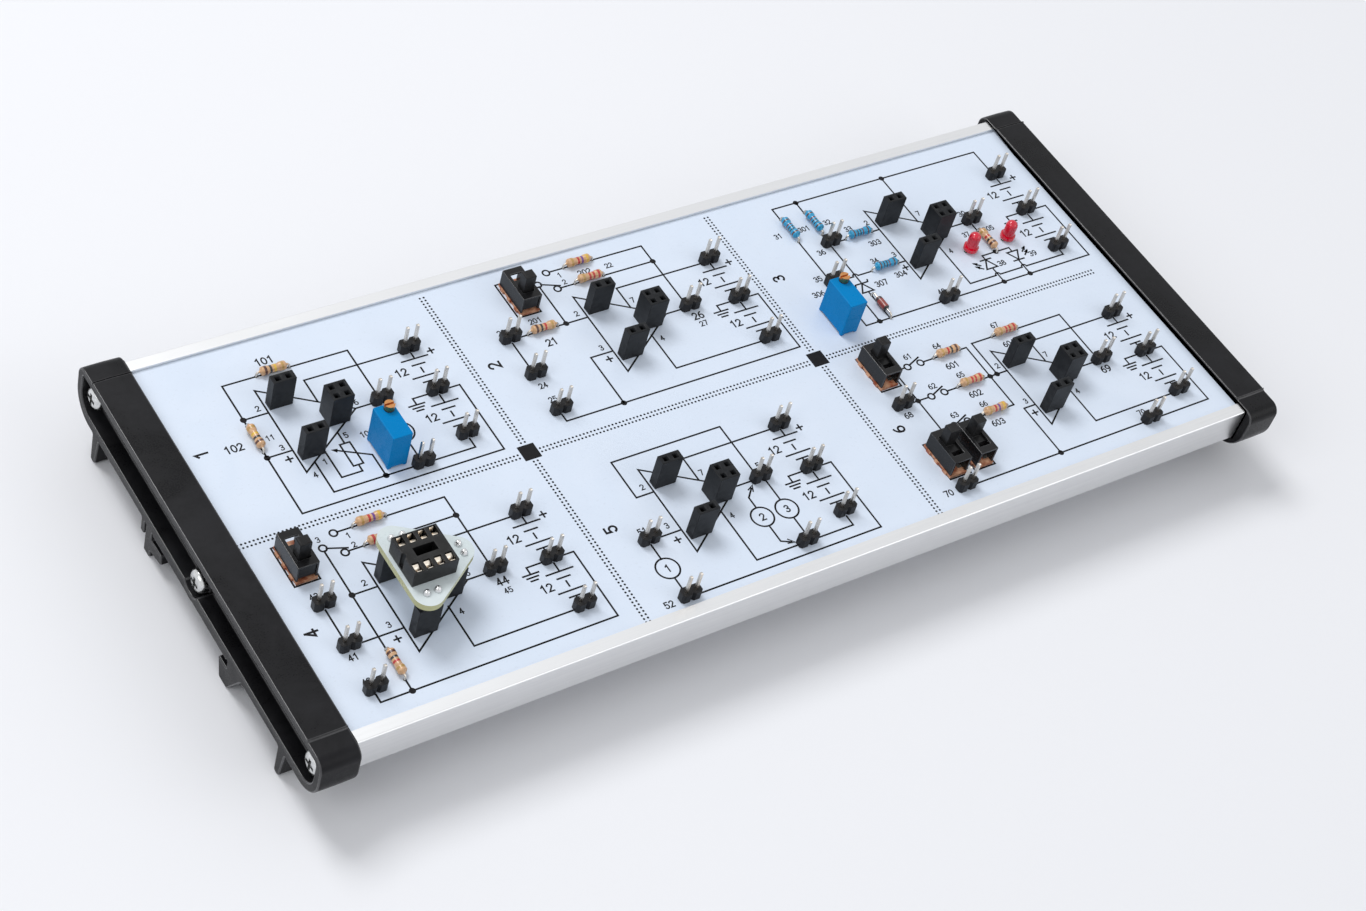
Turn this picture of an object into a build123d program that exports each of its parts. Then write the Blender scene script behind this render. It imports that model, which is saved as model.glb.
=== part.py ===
from build123d import *
import math
import os

os.makedirs("parts", exist_ok=True)

# An op-amp trainer: one circuit board with six amplifier circuits in an aluminium tray.
# Two moulded end caps close the tray, and stand on a bench or clip on a 35 mm rail.
# Lengths are millimetres. X runs along the tray, Y to the back, Z up. The origin is on the
# bench, below the middle of the board. A drop or a rise is counted from the board's top.

# Board
column_widths = (72.0, 79.2, 90.4)
row_depth = 51.0
back_margin = 4.6
board_height = 20.4
board_thickness = 1.6
hole_clearance = 0.1
solder_collar = 0.35
solder_height = 0.9
lead_tail = 1.1

# Aluminium tray
lip_width = 3.0
lip_cover = 1.2
lip_thickness = 0.7
lip_gap = 0.1
tray_depth = 8.5
tray_wall = 1.5
tray_floor = 1.3
tray_edge_radius = 0.35
shelf_thickness = 1.2
port_bore = 3.0
port_wall = 1.1
port_slot = 1.0
side_port_inset = 2.65
side_port_drop = 5.2
middle_port_drop = 8.2

# End caps
cap_thickness = 9.2
cap_overhang = 2.7
cap_rise = 1.6
cap_drop = 12.3
cap_top_radius = 2.8
cap_bottom_radius = 7.0
cap_band_length = 6.5
cap_band_drop = 0.25
cap_draft = 0.8
tray_seat = 1.2
seat_clearance = 0.1
recess_depth = 4.0
recess_end_wall = 2.2
recess_top_wall = 1.9
recess_bottom_wall = 2.4
boss_height = 1.0
boss_radius = 3.1
middle_boss_wall = 1.7
stand_width = 7.0
stand_overlap = 1.0

# Feet under each cap, and the clip for the rail
foot_top = 3.1
foot_tip = 2.0
foot_tip_radius = 0.8
foot_back_faces = (47.9, -40.8)
rail_width = 35.0
rail_clearance = 0.5
rail_seat_drop = 12.8
rail_slot = 2.1
rail_relief = 0.5
hook_tip = 3.6
hook_lean = 1.2
hook_sole = 3.6
hook_back = 4.9
latch_arm = 2.8
latch_reach = 5.2
latch_tip = 2.4
latch_tip_rise = 0.3
latch_heel = 3.4
finger_gap = 0.6
finger_width = 1.6
finger_length = 4.0

# Cap screws
screw_diameter = 2.9
screw_hole = 3.2
screw_grip = 8.0
screw_head = 5.6
screw_head_height = 2.2
screw_head_round = 1.3
cross_length = 3.2
cross_width = 0.9
cross_depth = 1.3

# Pin headers, with two pins along X
pin_pitch = 2.54
pin_size = 0.64
pin_tip = 0.18
pin_height = 7.7
header_chamfer = 0.55

# Socket strips: two pairs and a block of four to each amplifier
strip_height = 8.5
strip_depth = 2.5
pair_length = 5.5
block_length = 5.1
block_depth = 5.0
strip_entry = 0.9
strip_top = 0.8
strip_cavity = 1.3
contact_metal = 0.2
contact_gap = 0.86
contact_height = 6.4
contact_width = 1.0
contact_floor = 0.3
tail_width = 0.6
pair_across = 3.3
pair_spread = 7.62
block_across = 12.9
cluster_drop = 0.3
supply_rises = (11.5, -1.9, -15.5)

# Axial parts
wire_diameter = 0.55
wire_bend = 0.8
wire_pitch = 8.0
resistor_length = 6.3
resistor_end = 2.3
resistor_waist = 1.9
resistor_end_length = 1.3
axial_clearance = 0.1
diode_length = 3.8
diode_diameter = 1.8

# Lamps
lamp_diameter = 3.0
lamp_flange = 3.8
lamp_flange_height = 0.9
lamp_height = 5.3
lamp_lift = 0.7
lamp_wire = 0.45
lamp_bar_cover = 0.15
lamp_post_across = 0.6
lamp_post_depth = 2.6

# Trimmers
trimmer_length = 9.5
trimmer_width = 4.8
trimmer_height = 10.0
trimmer_wall = 0.6
trimmer_foot = 0.4
trimmer_foot_size = 0.9
trimmer_base = 1.2
trimmer_wire = 0.5
substrate_thickness = 0.7
adjuster_across = 0.8
adjuster_back = 3.35
adjuster_head = 2.4
adjuster_head_height = 1.25
adjuster_neck = 1.4
adjuster_slot = 0.5
adjuster_slot_depth = 0.6
worm_diameter = 1.4
worm_groove = 0.15
worm_pitch = 0.6
seal_height = 0.3
running_gap = 0.05
rotor_thickness = 1.2
rotor_teeth = 25
rotor_tooth_depth = 0.35
rotor_mesh_gap = 0.1
rotor_pivot = 1.2
wiper_metal = 0.15
wiper_width = 0.8

# Slide switches, with the knob's travel along Y
switch_width = 5.0
switch_length = 10.0
switch_base_length = 10.5
switch_base_height = 0.7
switch_tab = 0.35
switch_tab_width = 1.4
switch_height = 5.2
switch_wall = 0.5
slider_clearance = 0.1
slider_length = 6.4
knob_width = 2.8
knob_depth = 2.5
knob_height = 9.7
knob_round = 0.35
slot_end_gap = 0.25
switch_travel = 3.2
blade_width = 0.9
blade_thickness = 0.4
blade_across = 1.3
rivet_height = 0.15
bridge_metal = 0.2
bridge_arch = 0.3
bridge_width = 1.2
bridge_overlap = 1.0

# Plug-in adapter with a socket for an eight-pin amplifier
adapter_thickness = 1.6
adapter_corner = 3.4
adapter_corner_across = 2.5
adapter_corner_spread = 7.5
adapter_nose_across = 13.5
adapter_plug = 6.0
adapter_tail = 0.9
chip_socket_length = 10.3
chip_socket_width = 10.0
chip_socket_height = 4.4
chip_socket_across = 5.1
chip_socket_back = -0.1
chip_row_spread = 7.62
chip_window_length = 1.5
chip_window_width = 1.1
chip_opening_length = 5.0
chip_opening_width = 2.1
chip_floor = 0.6
chip_notch = 1.3
leaf_metal = 0.2
leaf_height = 3.5

# Circuits. A place is counted from the front left corner of the circuit's own cell, and
# spreads with the row. The hindmost resistor lies back_margin from the row's back edge.
# The amplifier's place is the left side and the axis of its triangle, and supply is the
# line of its three supply headers. Parts that lie along Y are named upright.
circuits = (
    dict(name="offset", column=0, row=1, amplifier=(22.8, 24.7), supply=60.3,
         headers=((47.3, 24.7), (47.2, 5.3)),
         carbon=((28.9, 40.7),), carbon_upright=((16.7, 24.4),),
         trimmers=((41.5, 11.3),)),
    dict(name="inverting", column=1, row=1, amplifier=(32.5, 24.9), supply=70.1,
         headers=((57.3, 24.9), (11.6, 30.7), (11.6, 19.1), (11.6, 7.8)),
         carbon=((39.0, 46.3), (39.0, 40.9), (20.2, 30.5)),
         switches_front=((20.1, 41.4),)),
    dict(name="comparator", column=2, row=1, amplifier=(38.8, 25.2), supply=80.2,
         headers=((63.7, 25.2), (23.7, 31.0), (16.7, 19.4), (41.4, 4.6)),
         film=((32.3, 30.8), (32.3, 19.3)), film_upright=((16.2, 38.1), (23.4, 38.1)),
         carbon_upright=((63.4, 17.6),), diodes_upright=((23.4, 8.4),),
         trimmers=((10.4, 8.5),), lamps=((57.1, 16.6), (69.1, 16.8))),
    dict(name="noninverting", column=0, row=0, amplifier=(22.4, 24.8), supply=60.0,
         headers=((47.2, 24.8), (9.7, 30.3), (9.7, 19.0), (9.6, 7.6)),
         carbon=((28.7, 46.4), (28.7, 41.0)), carbon_upright=((16.3, 11.3),),
         switches_front=((9.4, 42.2),)),
    dict(name="follower", column=1, row=0, amplifier=(19.0, 24.9), supply=56.6,
         headers=((43.8, 24.9), (10.5, 19.1), (10.5, 2.6), (43.6, 5.4))),
    dict(name="adder", column=2, row=0, amplifier=(41.1, 25.0), supply=78.8,
         headers=((66.1, 25.0), (9.2, 30.8), (8.9, 4.7), (65.8, 4.7)),
         carbon=((29.7, 40.6), (29.7, 30.7), (29.7, 21.1), (48.1, 41.2)),
         switches_back=((9.6, 41.8), (9.3, 13.3), (17.0, 13.3))),
)
adapter_circuit = "noninverting"

# Sizes that follow from the ones above
panel_length = sum(column_widths)
hindmost_resistor = max(place[1] for circuit in circuits for place in circuit.get("carbon", ()))
row_stretch = row_depth / (hindmost_resistor + back_margin)
board_length = panel_length + 2 * tray_seat
board_width = 2 * (row_depth + lip_cover)
tray_half = row_depth + lip_width
lip_top = lip_gap + lip_thickness
port_radius = port_bore / 2 + port_wall
side_port_y = tray_half - side_port_inset
ports = ((-side_port_y, -side_port_drop), (0, -middle_port_drop), (side_port_y, -side_port_drop))
cap_half = tray_half + cap_overhang
middle_boss_radius = boss_radius + seat_clearance + middle_boss_wall
tail_end = -board_thickness - lead_tail
strip_inside = strip_height - strip_top
resistor_axis = resistor_end / 2 + axial_clearance
slider_width = switch_width - 2 * switch_wall - 2 * slider_clearance
slider_top = switch_height - switch_wall - slider_clearance
bridge_bottom = switch_base_height + rivet_height + running_gap
slider_bottom = bridge_bottom + bridge_arch + bridge_metal
worm_radius = worm_diameter / 2
trimmer_floor = trimmer_foot + trimmer_base
trimmer_ceiling = trimmer_height - trimmer_wall
trimmer_inner_x = trimmer_width / 2 - trimmer_wall
trimmer_inner_y = trimmer_length / 2 - trimmer_wall
substrate_face = -trimmer_inner_x + substrate_thickness
rotor_front = -trimmer_inner_y + running_gap
rotor_back = adjuster_back - worm_radius - rotor_mesh_gap
rotor_radius = (rotor_back - rotor_front) / 2
rotor_y = (rotor_back + rotor_front) / 2
rotor_z = (trimmer_floor + trimmer_ceiling) / 2
adapter_bottom = strip_height + running_gap + pin_pitch
adapter_top = adapter_bottom + adapter_thickness


# Lead sections, at the board's top
def lead_face(kind):
    if kind == "pin":
        return Rectangle(pin_size, pin_size)
    if kind == "tail":
        return Rectangle(contact_metal, tail_width)
    if kind == "wire":
        return Circle(wire_diameter / 2)
    if kind == "lamp wire":
        return Rectangle(lamp_wire, lamp_wire)
    if kind == "trimmer wire":
        return Circle(trimmer_wire / 2)
    return Rectangle(blade_thickness, blade_width)


def hole_radius(kind):
    size = lead_face(kind).bounding_box().size
    across = size.X if kind.endswith("wire") and kind != "lamp wire" else math.hypot(size.X, size.Y)
    return across / 2 + hole_clearance


def straight_lead(kind, bottom, top):
    return extrude(Pos(0, 0, bottom) * lead_face(kind), top - bottom)


# Solder around a lead: a cone that stands on a board's face at z = 0
def solder_cone(kind):
    foot = hole_radius(kind) + solder_collar
    cone = Pos(0, 0, solder_height / 2) * Cone(foot, foot - solder_collar, solder_height)
    return cone - extrude(lead_face(kind), solder_height)


# Places
def cell_corner(circuit):
    left = -panel_length / 2 + sum(column_widths[:circuit["column"]])
    return left, (circuit["row"] - 1) * row_depth


def places(circuit, key):
    left, front = cell_corner(circuit)
    return [(left + x, front + y * row_stretch) for x, y in circuit.get(key, ())]


def all_places(*keys):
    return [spot for key in keys for circuit in circuits for spot in places(circuit, key)]


def header_places(circuit):
    left, front = cell_corner(circuit)
    axis = front + circuit["amplifier"][1] * row_stretch
    supply = [(left + circuit["supply"], axis + rise) for rise in supply_rises]
    return places(circuit, "headers") + supply


def cluster_centre(circuit):
    left, front = cell_corner(circuit)
    across, axis = circuit["amplifier"]
    return left + across, front + axis * row_stretch - cluster_drop


def pair_places(circuit):
    x, y = cluster_centre(circuit)
    return [(x + pair_across, y + side * pair_spread) for side in (-1, 1)]


def block_place(circuit):
    x, y = cluster_centre(circuit)
    return x + block_across, y


# The two contacts of a pair, or the four of a block, about the middle of the strip
def pair_contacts(spot):
    return [(spot[0] + side * pin_pitch / 2, spot[1]) for side in (-1, 1)]


def block_contacts(spot):
    rows = [(spot[0], spot[1] + side * pin_pitch / 2) for side in (-1, 1)]
    return [contact for row in rows for contact in pair_contacts(row)]


def cluster_contacts(circuit):
    pairs = [contact for spot in pair_places(circuit) for contact in pair_contacts(spot)]
    return pairs + block_contacts(block_place(circuit))


def wire_places(spots, upright):
    reach = wire_pitch / 2
    step = (0, reach) if upright else (reach, 0)
    return [(x + side * step[0], y + side * step[1]) for x, y in spots for side in (-1, 1)]


def lamp_wire_places():
    return [contact for spot in lamps for contact in pair_contacts(spot)]


def trimmer_wire_places():
    across = (substrate_face - trimmer_inner_x) / 2
    return [(x + across, y + step * pin_pitch)
            for x, y in all_places("trimmers") for step in (-1, 0, 1)]


def blade_places():
    return [(x + side * blade_across, y + step * switch_travel)
            for x, y in all_places("switches_front", "switches_back")
            for side in (-1, 1) for step in (-1, 0, 1)]


def pins_of_headers():
    return [pin for circuit in circuits for spot in header_places(circuit)
            for pin in pair_contacts(spot)]


lamps = all_places("lamps")
flat_axials = all_places("carbon", "film")
upright_axials = all_places("carbon_upright", "film_upright", "diodes_upright")
soldered = {
    "pin": pins_of_headers(),
    "tail": [contact for circuit in circuits for contact in cluster_contacts(circuit)],
    "wire": wire_places(flat_axials, False) + wire_places(upright_axials, True),
    "lamp wire": lamp_wire_places(),
    "trimmer wire": trimmer_wire_places(),
    "blade": blade_places(),
}


# Copies of a solid at the places on the board, and a node written to its file
def on_board(solid, spots, rise=0):
    return [Pos(x, y, board_height + rise) * solid for x, y in spots]


def save(name, solids):
    shape = solids[0] if len(solids) == 1 else Compound(children=solids)
    export_step(shape, f"parts/{name}.step")


# Circuit board and its solder
def circuit_board():
    face = Rectangle(board_length, board_width)
    holes = [Pos(x, y) * Circle(hole_radius(kind)) for kind, spots in soldered.items() for x, y in spots]
    face -= holes
    return Pos(0, 0, board_height - board_thickness) * extrude(face, board_thickness)


def solder_joints():
    joints = []
    for kind, spots in soldered.items():
        joint = Rot(180, 0, 0) * solder_cone(kind)
        joints += on_board(joint, spots, -board_thickness)
    return joints


# A section in Y and Z: one block of it, and the solid that it makes along X
def block(low, high, bottom, top):
    return Pos((low + high) / 2, (bottom + top) / 2) * Rectangle(high - low, top - bottom)


def along_x(face, start, length):
    return Pos(start, 0, 0) * extrude(Plane.YZ * face, length, dir=(1, 0, 0))


# Aluminium tray
def tray():
    height = tray_depth + lip_top
    face = Pos(0, lip_top - height / 2) * RectangleRounded(2 * tray_half, height, tray_edge_radius)
    inner = tray_half - tray_wall
    face -= block(-inner, inner, tray_floor - tray_depth, lip_gap)
    face -= block(-row_depth, row_depth, 0, lip_top)
    for side in (-1, 1):
        low, high = sorted((side * row_depth, side * inner))
        face += block(low, high, -board_thickness - shelf_thickness, -board_thickness)
    face += [Pos(y, z) * Circle(port_radius) for y, z in ports]
    face -= [Pos(y, z) * Circle(port_bore / 2) for y, z in ports]
    reach = port_radius + port_slot
    for side in (-1, 1):
        low, high = sorted((side * (side_port_y - reach), side * side_port_y))
        face -= block(low, high, -side_port_drop - port_slot / 2, -side_port_drop + port_slot / 2)
    face -= block(-port_slot / 2, port_slot / 2, -middle_port_drop, reach - middle_port_drop)
    return Pos(0, 0, board_height) * along_x(face, -board_length / 2, board_length)


# End cap, drawn as a section in Y and Z with its inner face at x = 0
def cap_outline():
    band = cap_half - cap_band_length
    low = cap_rise - cap_band_drop
    corners = ((-cap_half, -cap_drop), (cap_half, -cap_drop), (cap_half, low), (band, low),
               (band, cap_rise), (-band, cap_rise), (-band, low), (-cap_half, low))
    face = Polygon(*corners, align=None)
    ends = [vertex for vertex in face.vertices() if abs(vertex.X) > cap_half - cap_band_drop]
    face = fillet([vertex for vertex in ends if vertex.Y > 0], cap_top_radius)
    ends = [vertex for vertex in face.vertices() if vertex.Y < -cap_drop + cap_band_drop]
    face = fillet(ends, cap_bottom_radius)
    return face + Pos(0, -middle_port_drop) * Circle(middle_boss_radius)


def cap_recess():
    half = cap_half - recess_end_wall
    face = block(-half, half, recess_bottom_wall - cap_drop, cap_rise - recess_top_wall)
    upper = face.vertices().sort_by(Axis.Y)[-2:]
    face = fillet(upper, max(cap_top_radius - recess_top_wall, cap_band_drop))
    lower = face.vertices().sort_by(Axis.Y)[:2]
    face = fillet(lower, cap_bottom_radius - recess_bottom_wall)
    return face + Pos(0, -middle_port_drop) * Circle(boss_radius + seat_clearance)


def tray_pocket():
    half = tray_half + seat_clearance
    face = block(-half, half, -tray_depth - seat_clearance, lip_top + seat_clearance)
    return face + Pos(0, -middle_port_drop) * Circle(port_radius + seat_clearance)


def foot(back):
    top = stand_overlap - cap_drop
    corners = ((back, top), (back - foot_top, top), (back - foot_tip, -board_height), (back, -board_height))
    face = Polygon(*corners, align=None)
    return fillet(face.vertices().sort_by(Axis.Y)[:2], foot_tip_radius)


def rail_clip():
    top = stand_overlap - cap_drop
    slot = rail_width / 2 + rail_clearance
    jaw = -rail_seat_drop - rail_slot
    sole = -board_height
    hook = ((-slot, top), (-slot, jaw), (hook_tip - slot, jaw), (hook_tip - slot - hook_lean, sole),
            (hook_tip - slot - hook_lean - hook_sole, sole),
            (hook_tip - slot - hook_lean - hook_sole - hook_back, -cap_drop),
            (hook_tip - slot - hook_lean - hook_sole - hook_back, top))
    arm = slot + latch_arm
    latch = ((slot, top), (slot, jaw), (slot - latch_reach + latch_tip_rise, jaw + latch_tip_rise),
             (slot - latch_reach, jaw - latch_tip), (slot, jaw - latch_heel), (slot, sole),
             (arm, sole), (arm, top))
    finger = block(arm + finger_gap, arm + finger_gap + finger_width, -cap_drop - finger_length, top)
    seat = block(-slot - hook_sole, arm, -rail_seat_drop, top)
    clip = Polygon(*hook, align=None) + Polygon(*latch, align=None) + seat + finger
    for low in (-slot, slot - rail_relief):
        clip -= block(low, low + rail_relief, -rail_seat_drop, rail_relief - rail_seat_drop)
    return clip


def end_cap():
    middle = cap_thickness / 2
    body = Pos(middle, 0, 0) * extrude(Plane.YZ * cap_outline(), middle, both=True, taper=cap_draft)
    web = cap_thickness - recess_depth
    body -= along_x(cap_recess(), web, recess_depth)
    body -= along_x(tray_pocket(), 0, tray_seat)
    body += [along_x(Pos(*port) * Circle(boss_radius), web, boss_height) for port in ports]
    stand = [foot(back) for back in foot_back_faces] + [rail_clip()]
    body += [along_x(face, cap_thickness - stand_width, stand_width) for face in stand]
    body -= [along_x(Pos(*port) * Circle(screw_hole / 2), 0, cap_thickness) for port in ports]
    return body


# Cap screw, with its head's underside at x = 0 and its shank towards -X
def cap_screw():
    length = boss_height + cap_thickness - recess_depth - tray_seat + screw_grip
    head = Pos(0, 0, screw_head_height / 2) * Cylinder(screw_head / 2, screw_head_height)
    head = fillet(head.edges().sort_by(Axis.Z)[-1], screw_head_round)
    shank = Pos(0, 0, -length / 2) * Cylinder(screw_diameter / 2, length)
    cut = Pos(0, 0, screw_head_height - cross_depth / 2) * Box(cross_length, cross_width, cross_depth)
    return Rot(0, 90, 0) * (head + shank - cut - Rot(0, 0, 90) * cut)


def cap_screws():
    seat = panel_length / 2 + cap_thickness - recess_depth + boss_height
    screws = [Pos(seat, y, board_height + z) * cap_screw() for y, z in ports]
    return screws + [mirror(screw, Plane.YZ) for screw in screws]


# Pin header: an octagonal block to each pin, joined side by side
def header_block():
    cell = Rectangle(pin_pitch, pin_pitch)
    cell = chamfer(cell.vertices(), header_chamfer)
    face = [Pos(x, y) * cell for x, y in pair_contacts((0, 0))]
    face = face[0] + face[1]
    face -= [Pos(x, y) * Rectangle(pin_size, pin_size) for x, y in pair_contacts((0, 0))]
    return extrude(face, pin_pitch)


def square_pin(bottom, top):
    pin = straight_lead("pin", bottom, top)
    ends = pin.faces().sort_by(Axis.Z)
    return chamfer(ends[0].edges() + ends[-1].edges(), pin_tip)


# Socket strip with a contact in each cavity
def socket_strip(length, depth, contacts):
    strip = extrude(Rectangle(length, depth), strip_height)
    for x, y in contacts:
        strip -= Pos(x, y, 0) * extrude(Rectangle(strip_cavity, strip_cavity), strip_inside)
        strip -= Pos(x, y, strip_inside) * extrude(Rectangle(strip_entry, strip_entry), strip_top)
    return strip


def socket_strips(circuit):
    pair = socket_strip(pair_length, strip_depth, pair_contacts((0, 0)))
    four = socket_strip(block_length, block_depth, block_contacts((0, 0)))
    return on_board(pair, pair_places(circuit)) + on_board(four, [block_place(circuit)])


def socket_contact():
    leaf = (strip_cavity - contact_gap) / 4
    across = contact_gap / 2 + leaf
    leaves = [Pos(side * across, 0, contact_floor + contact_height / 2)
              * Box(2 * leaf, contact_width, contact_height) for side in (-1, 1)]
    floor = Pos(0, 0, contact_floor + contact_metal / 2) * Box(contact_gap, contact_width, contact_metal)
    return leaves[0] + leaves[1] + floor + straight_lead("tail", tail_end, contact_floor)


# Axial parts, along X with their middle above the origin
def axial_lead(body_length, axis):
    reach = wire_pitch / 2
    path = FilletPolyline((body_length / 2, 0, axis), (reach, 0, axis), (reach, 0, tail_end),
                          radius=wire_bend)
    return sweep(Plane(origin=path @ 0, z_dir=path % 0) * Circle(wire_diameter / 2), path)


def axial_leads(body_length, axis):
    lead = axial_lead(body_length, axis)
    return [lead, Rot(0, 0, 180) * lead]


def resistor_body():
    half = resistor_length / 2
    end = resistor_end / 2
    waist = resistor_waist / 2
    slope = half - resistor_end_length
    shoulder = slope - 2 * (end - waist)
    corner = end - waist
    face = Polygon((-half, 0), (half, 0), (half, end - corner), (half - corner, end), (slope, end),
                   (shoulder, waist), (-shoulder, waist), (-slope, end), (corner - half, end),
                   (-half, end - corner), align=None)
    return Pos(0, 0, resistor_axis) * revolve(face, Axis.X)


def diode_body():
    glass = Rot(0, 90, 0) * Cylinder(diode_diameter / 2, diode_length)
    glass = fillet(glass.edges().filter_by(GeomType.CIRCLE), diode_diameter / 4)
    return Pos(0, 0, resistor_axis) * glass


def turned(solids):
    return [Rot(0, 0, 90) * solid for solid in solids]


def axial_bodies(body, flat, upright):
    return on_board(body, flat) + on_board(turned([body])[0], upright)


def all_axial_leads():
    long_leads = axial_leads(resistor_length, resistor_axis)
    short_leads = turned(axial_leads(diode_length, resistor_axis))
    leads = []
    for lead in long_leads:
        leads += on_board(lead, flat_axials)
    for lead in turned(long_leads):
        leads += on_board(lead, all_places("carbon_upright", "film_upright"))
    for lead in short_leads:
        leads += on_board(lead, all_places("diodes_upright"))
    return leads


# Lamp
def lamp_lead():
    bar_top = lamp_lift + lamp_flange_height - lamp_bar_cover
    lead = straight_lead("lamp wire", tail_end, bar_top)
    inside = Pos(lamp_post_across - pin_pitch / 2, 0, 0)
    lead += inside * straight_lead("lamp wire", bar_top, lamp_lift + lamp_post_depth)
    middle = (lamp_post_across - pin_pitch / 2) / 2
    bar = Box(lamp_wire - 2 * middle, lamp_wire, lamp_wire, align=(Align.CENTER, Align.CENTER, Align.MAX))
    return Pos(pin_pitch / 2, 0, 0) * (lead + Pos(middle, 0, bar_top) * bar)


def lamp_leads():
    lead = lamp_lead()
    return [lead, Rot(0, 0, 180) * lead]


def lamp_lens():
    radius = lamp_diameter / 2
    shoulder = lamp_height - radius
    edges = Polyline((0, lamp_height), (0, 0), (lamp_flange / 2, 0), (lamp_flange / 2, lamp_flange_height),
                     (radius, lamp_flange_height), (radius, shoulder))
    edges += RadiusArc((radius, shoulder), (0, lamp_height), -radius)
    lens = Pos(0, 0, lamp_lift) * revolve(Plane.XZ * make_face(edges), Axis.Z)
    return lens - lamp_leads()


# Trimmer
def trimmer_housing():
    wall = trimmer_height - trimmer_foot
    shell = Pos(0, 0, trimmer_foot) * extrude(Rectangle(trimmer_width, trimmer_length), wall)
    inner = Rectangle(2 * trimmer_inner_x, 2 * trimmer_inner_y)
    shell -= Pos(0, 0, trimmer_foot) * extrude(inner, wall - trimmer_wall)
    for x in (-1, 1):
        for y in (-1, 1):
            corner = Rectangle(trimmer_foot_size, trimmer_foot_size, align=(Align.MAX, Align.MAX))
            corner -= Rectangle(trimmer_foot_size - trimmer_wall, trimmer_foot_size - trimmer_wall,
                                align=(Align.MAX, Align.MAX)).moved(Pos(-trimmer_wall, -trimmer_wall))
            corner = extrude(Pos(trimmer_width / 2, trimmer_length / 2) * corner, trimmer_foot)
            corner = mirror(corner, Plane.YZ) if x < 0 else corner
            shell += mirror(corner, Plane.XZ) if y < 0 else corner
    hole = Pos(adjuster_across, adjuster_back, trimmer_ceiling)
    shell -= hole * extrude(Circle(adjuster_neck / 2 + running_gap), trimmer_wall)
    pivot = adjuster_across - rotor_thickness / 2
    face = Pos(rotor_y, rotor_z) * Circle(rotor_pivot / 2)
    return shell + along_x(face, pivot, trimmer_inner_x - pivot)


def trimmer_potting():
    face = Rectangle(2 * trimmer_inner_x, 2 * trimmer_inner_y)
    across = (substrate_face - trimmer_inner_x) / 2
    for step in (-1, 0, 1):
        face -= Pos(across, step * pin_pitch) * Circle(trimmer_wire / 2 + running_gap)
    return Pos(0, 0, trimmer_foot) * extrude(face, trimmer_base)


def trimmer_substrate():
    face = Pos((substrate_face - trimmer_inner_x) / 2, 0) * Rectangle(
        substrate_thickness, 2 * trimmer_inner_y)
    return Pos(0, 0, trimmer_floor) * extrude(face, trimmer_ceiling - trimmer_floor)


def trimmer_seal():
    ring = Circle(adjuster_head / 2) - Circle(adjuster_neck / 2 + running_gap)
    return Pos(adjuster_across, adjuster_back, trimmer_height) * extrude(ring, seal_height)


def adjuster():
    bottom = trimmer_floor + running_gap
    top = trimmer_ceiling - running_gap
    seat = trimmer_height + seal_height + running_gap
    worm = Pos(0, 0, bottom) * extrude(Circle(worm_radius), top - bottom)
    turns = int((top - bottom) / worm_pitch)
    groove = Circle(worm_radius) - Circle(worm_radius - worm_groove)
    for turn in range(1, turns):
        worm -= Pos(0, 0, bottom + turn * worm_pitch) * extrude(groove, worm_pitch / 2)
    worm += Pos(0, 0, top) * extrude(Circle(adjuster_neck / 2), seat - top)
    worm += Pos(0, 0, seat) * extrude(Circle(adjuster_head / 2), adjuster_head_height)
    slot = Rectangle(adjuster_head, adjuster_slot)
    cut = seat + adjuster_head_height - adjuster_slot_depth
    worm -= Pos(0, 0, cut) * extrude(slot, adjuster_slot_depth)
    return Pos(adjuster_across, adjuster_back, 0) * worm


def rotor():
    face = Circle(rotor_radius)
    notch = math.pi * rotor_radius / rotor_teeth
    ring = PolarLocations(rotor_radius - rotor_tooth_depth / 2, rotor_teeth)
    face -= [spot * Rectangle(rotor_tooth_depth, notch) for spot in ring]
    face -= Circle(rotor_pivot / 2 + running_gap)
    face = Pos(rotor_y, rotor_z) * face
    return along_x(face, adjuster_across - rotor_thickness / 2, rotor_thickness)


# Wiper: a strip on the rotor's face whose two fingers lean to the resistance track
def wiper():
    outer = rotor_radius - rotor_tooth_depth
    inner = rotor_pivot / 2 + running_gap
    start = adjuster_across - rotor_thickness / 2
    end = substrate_face + running_gap
    strip = Polygon((start, inner), (start, outer), (end, outer), (end, outer - wiper_metal),
                    (start - wiper_metal, outer - wiper_metal), (start - wiper_metal, inner), align=None)
    return Pos(0, rotor_y, rotor_z - wiper_width / 2) * extrude(strip, wiper_width, dir=(0, 0, 1))


# Slide switch
def switch_base():
    face = Rectangle(switch_width, switch_base_length)
    tab = Rectangle(switch_width + 2 * switch_tab, switch_tab_width)
    face += [Pos(0, step * switch_travel) * tab for step in (-1, 0, 1)]
    blade = Rectangle(blade_thickness, blade_width)
    for side in (-1, 1):
        for step in (-1, 0, 1):
            face -= Pos(side * blade_across, step * switch_travel) * blade
    return extrude(face, switch_base_height)


def switch_cover():
    inner = switch_width - 2 * switch_wall
    height = switch_height - switch_base_height
    cover = extrude(Rectangle(switch_width, switch_length), height)
    cover -= extrude(Rectangle(inner, switch_length), height - switch_wall)
    slot_length = knob_depth + switch_travel + 2 * slot_end_gap
    slot = Rectangle(knob_width + 2 * slider_clearance, slot_length)
    cover -= Pos(0, 0, height - switch_wall) * extrude(slot, switch_wall)
    return Pos(0, 0, switch_base_height) * cover


def switch_terminal():
    rivet = Pos(0, 0, switch_base_height) * extrude(
        Rectangle(bridge_width, blade_width + 2 * rivet_height), rivet_height)
    return rivet + straight_lead("blade", tail_end, switch_base_height)


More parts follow.
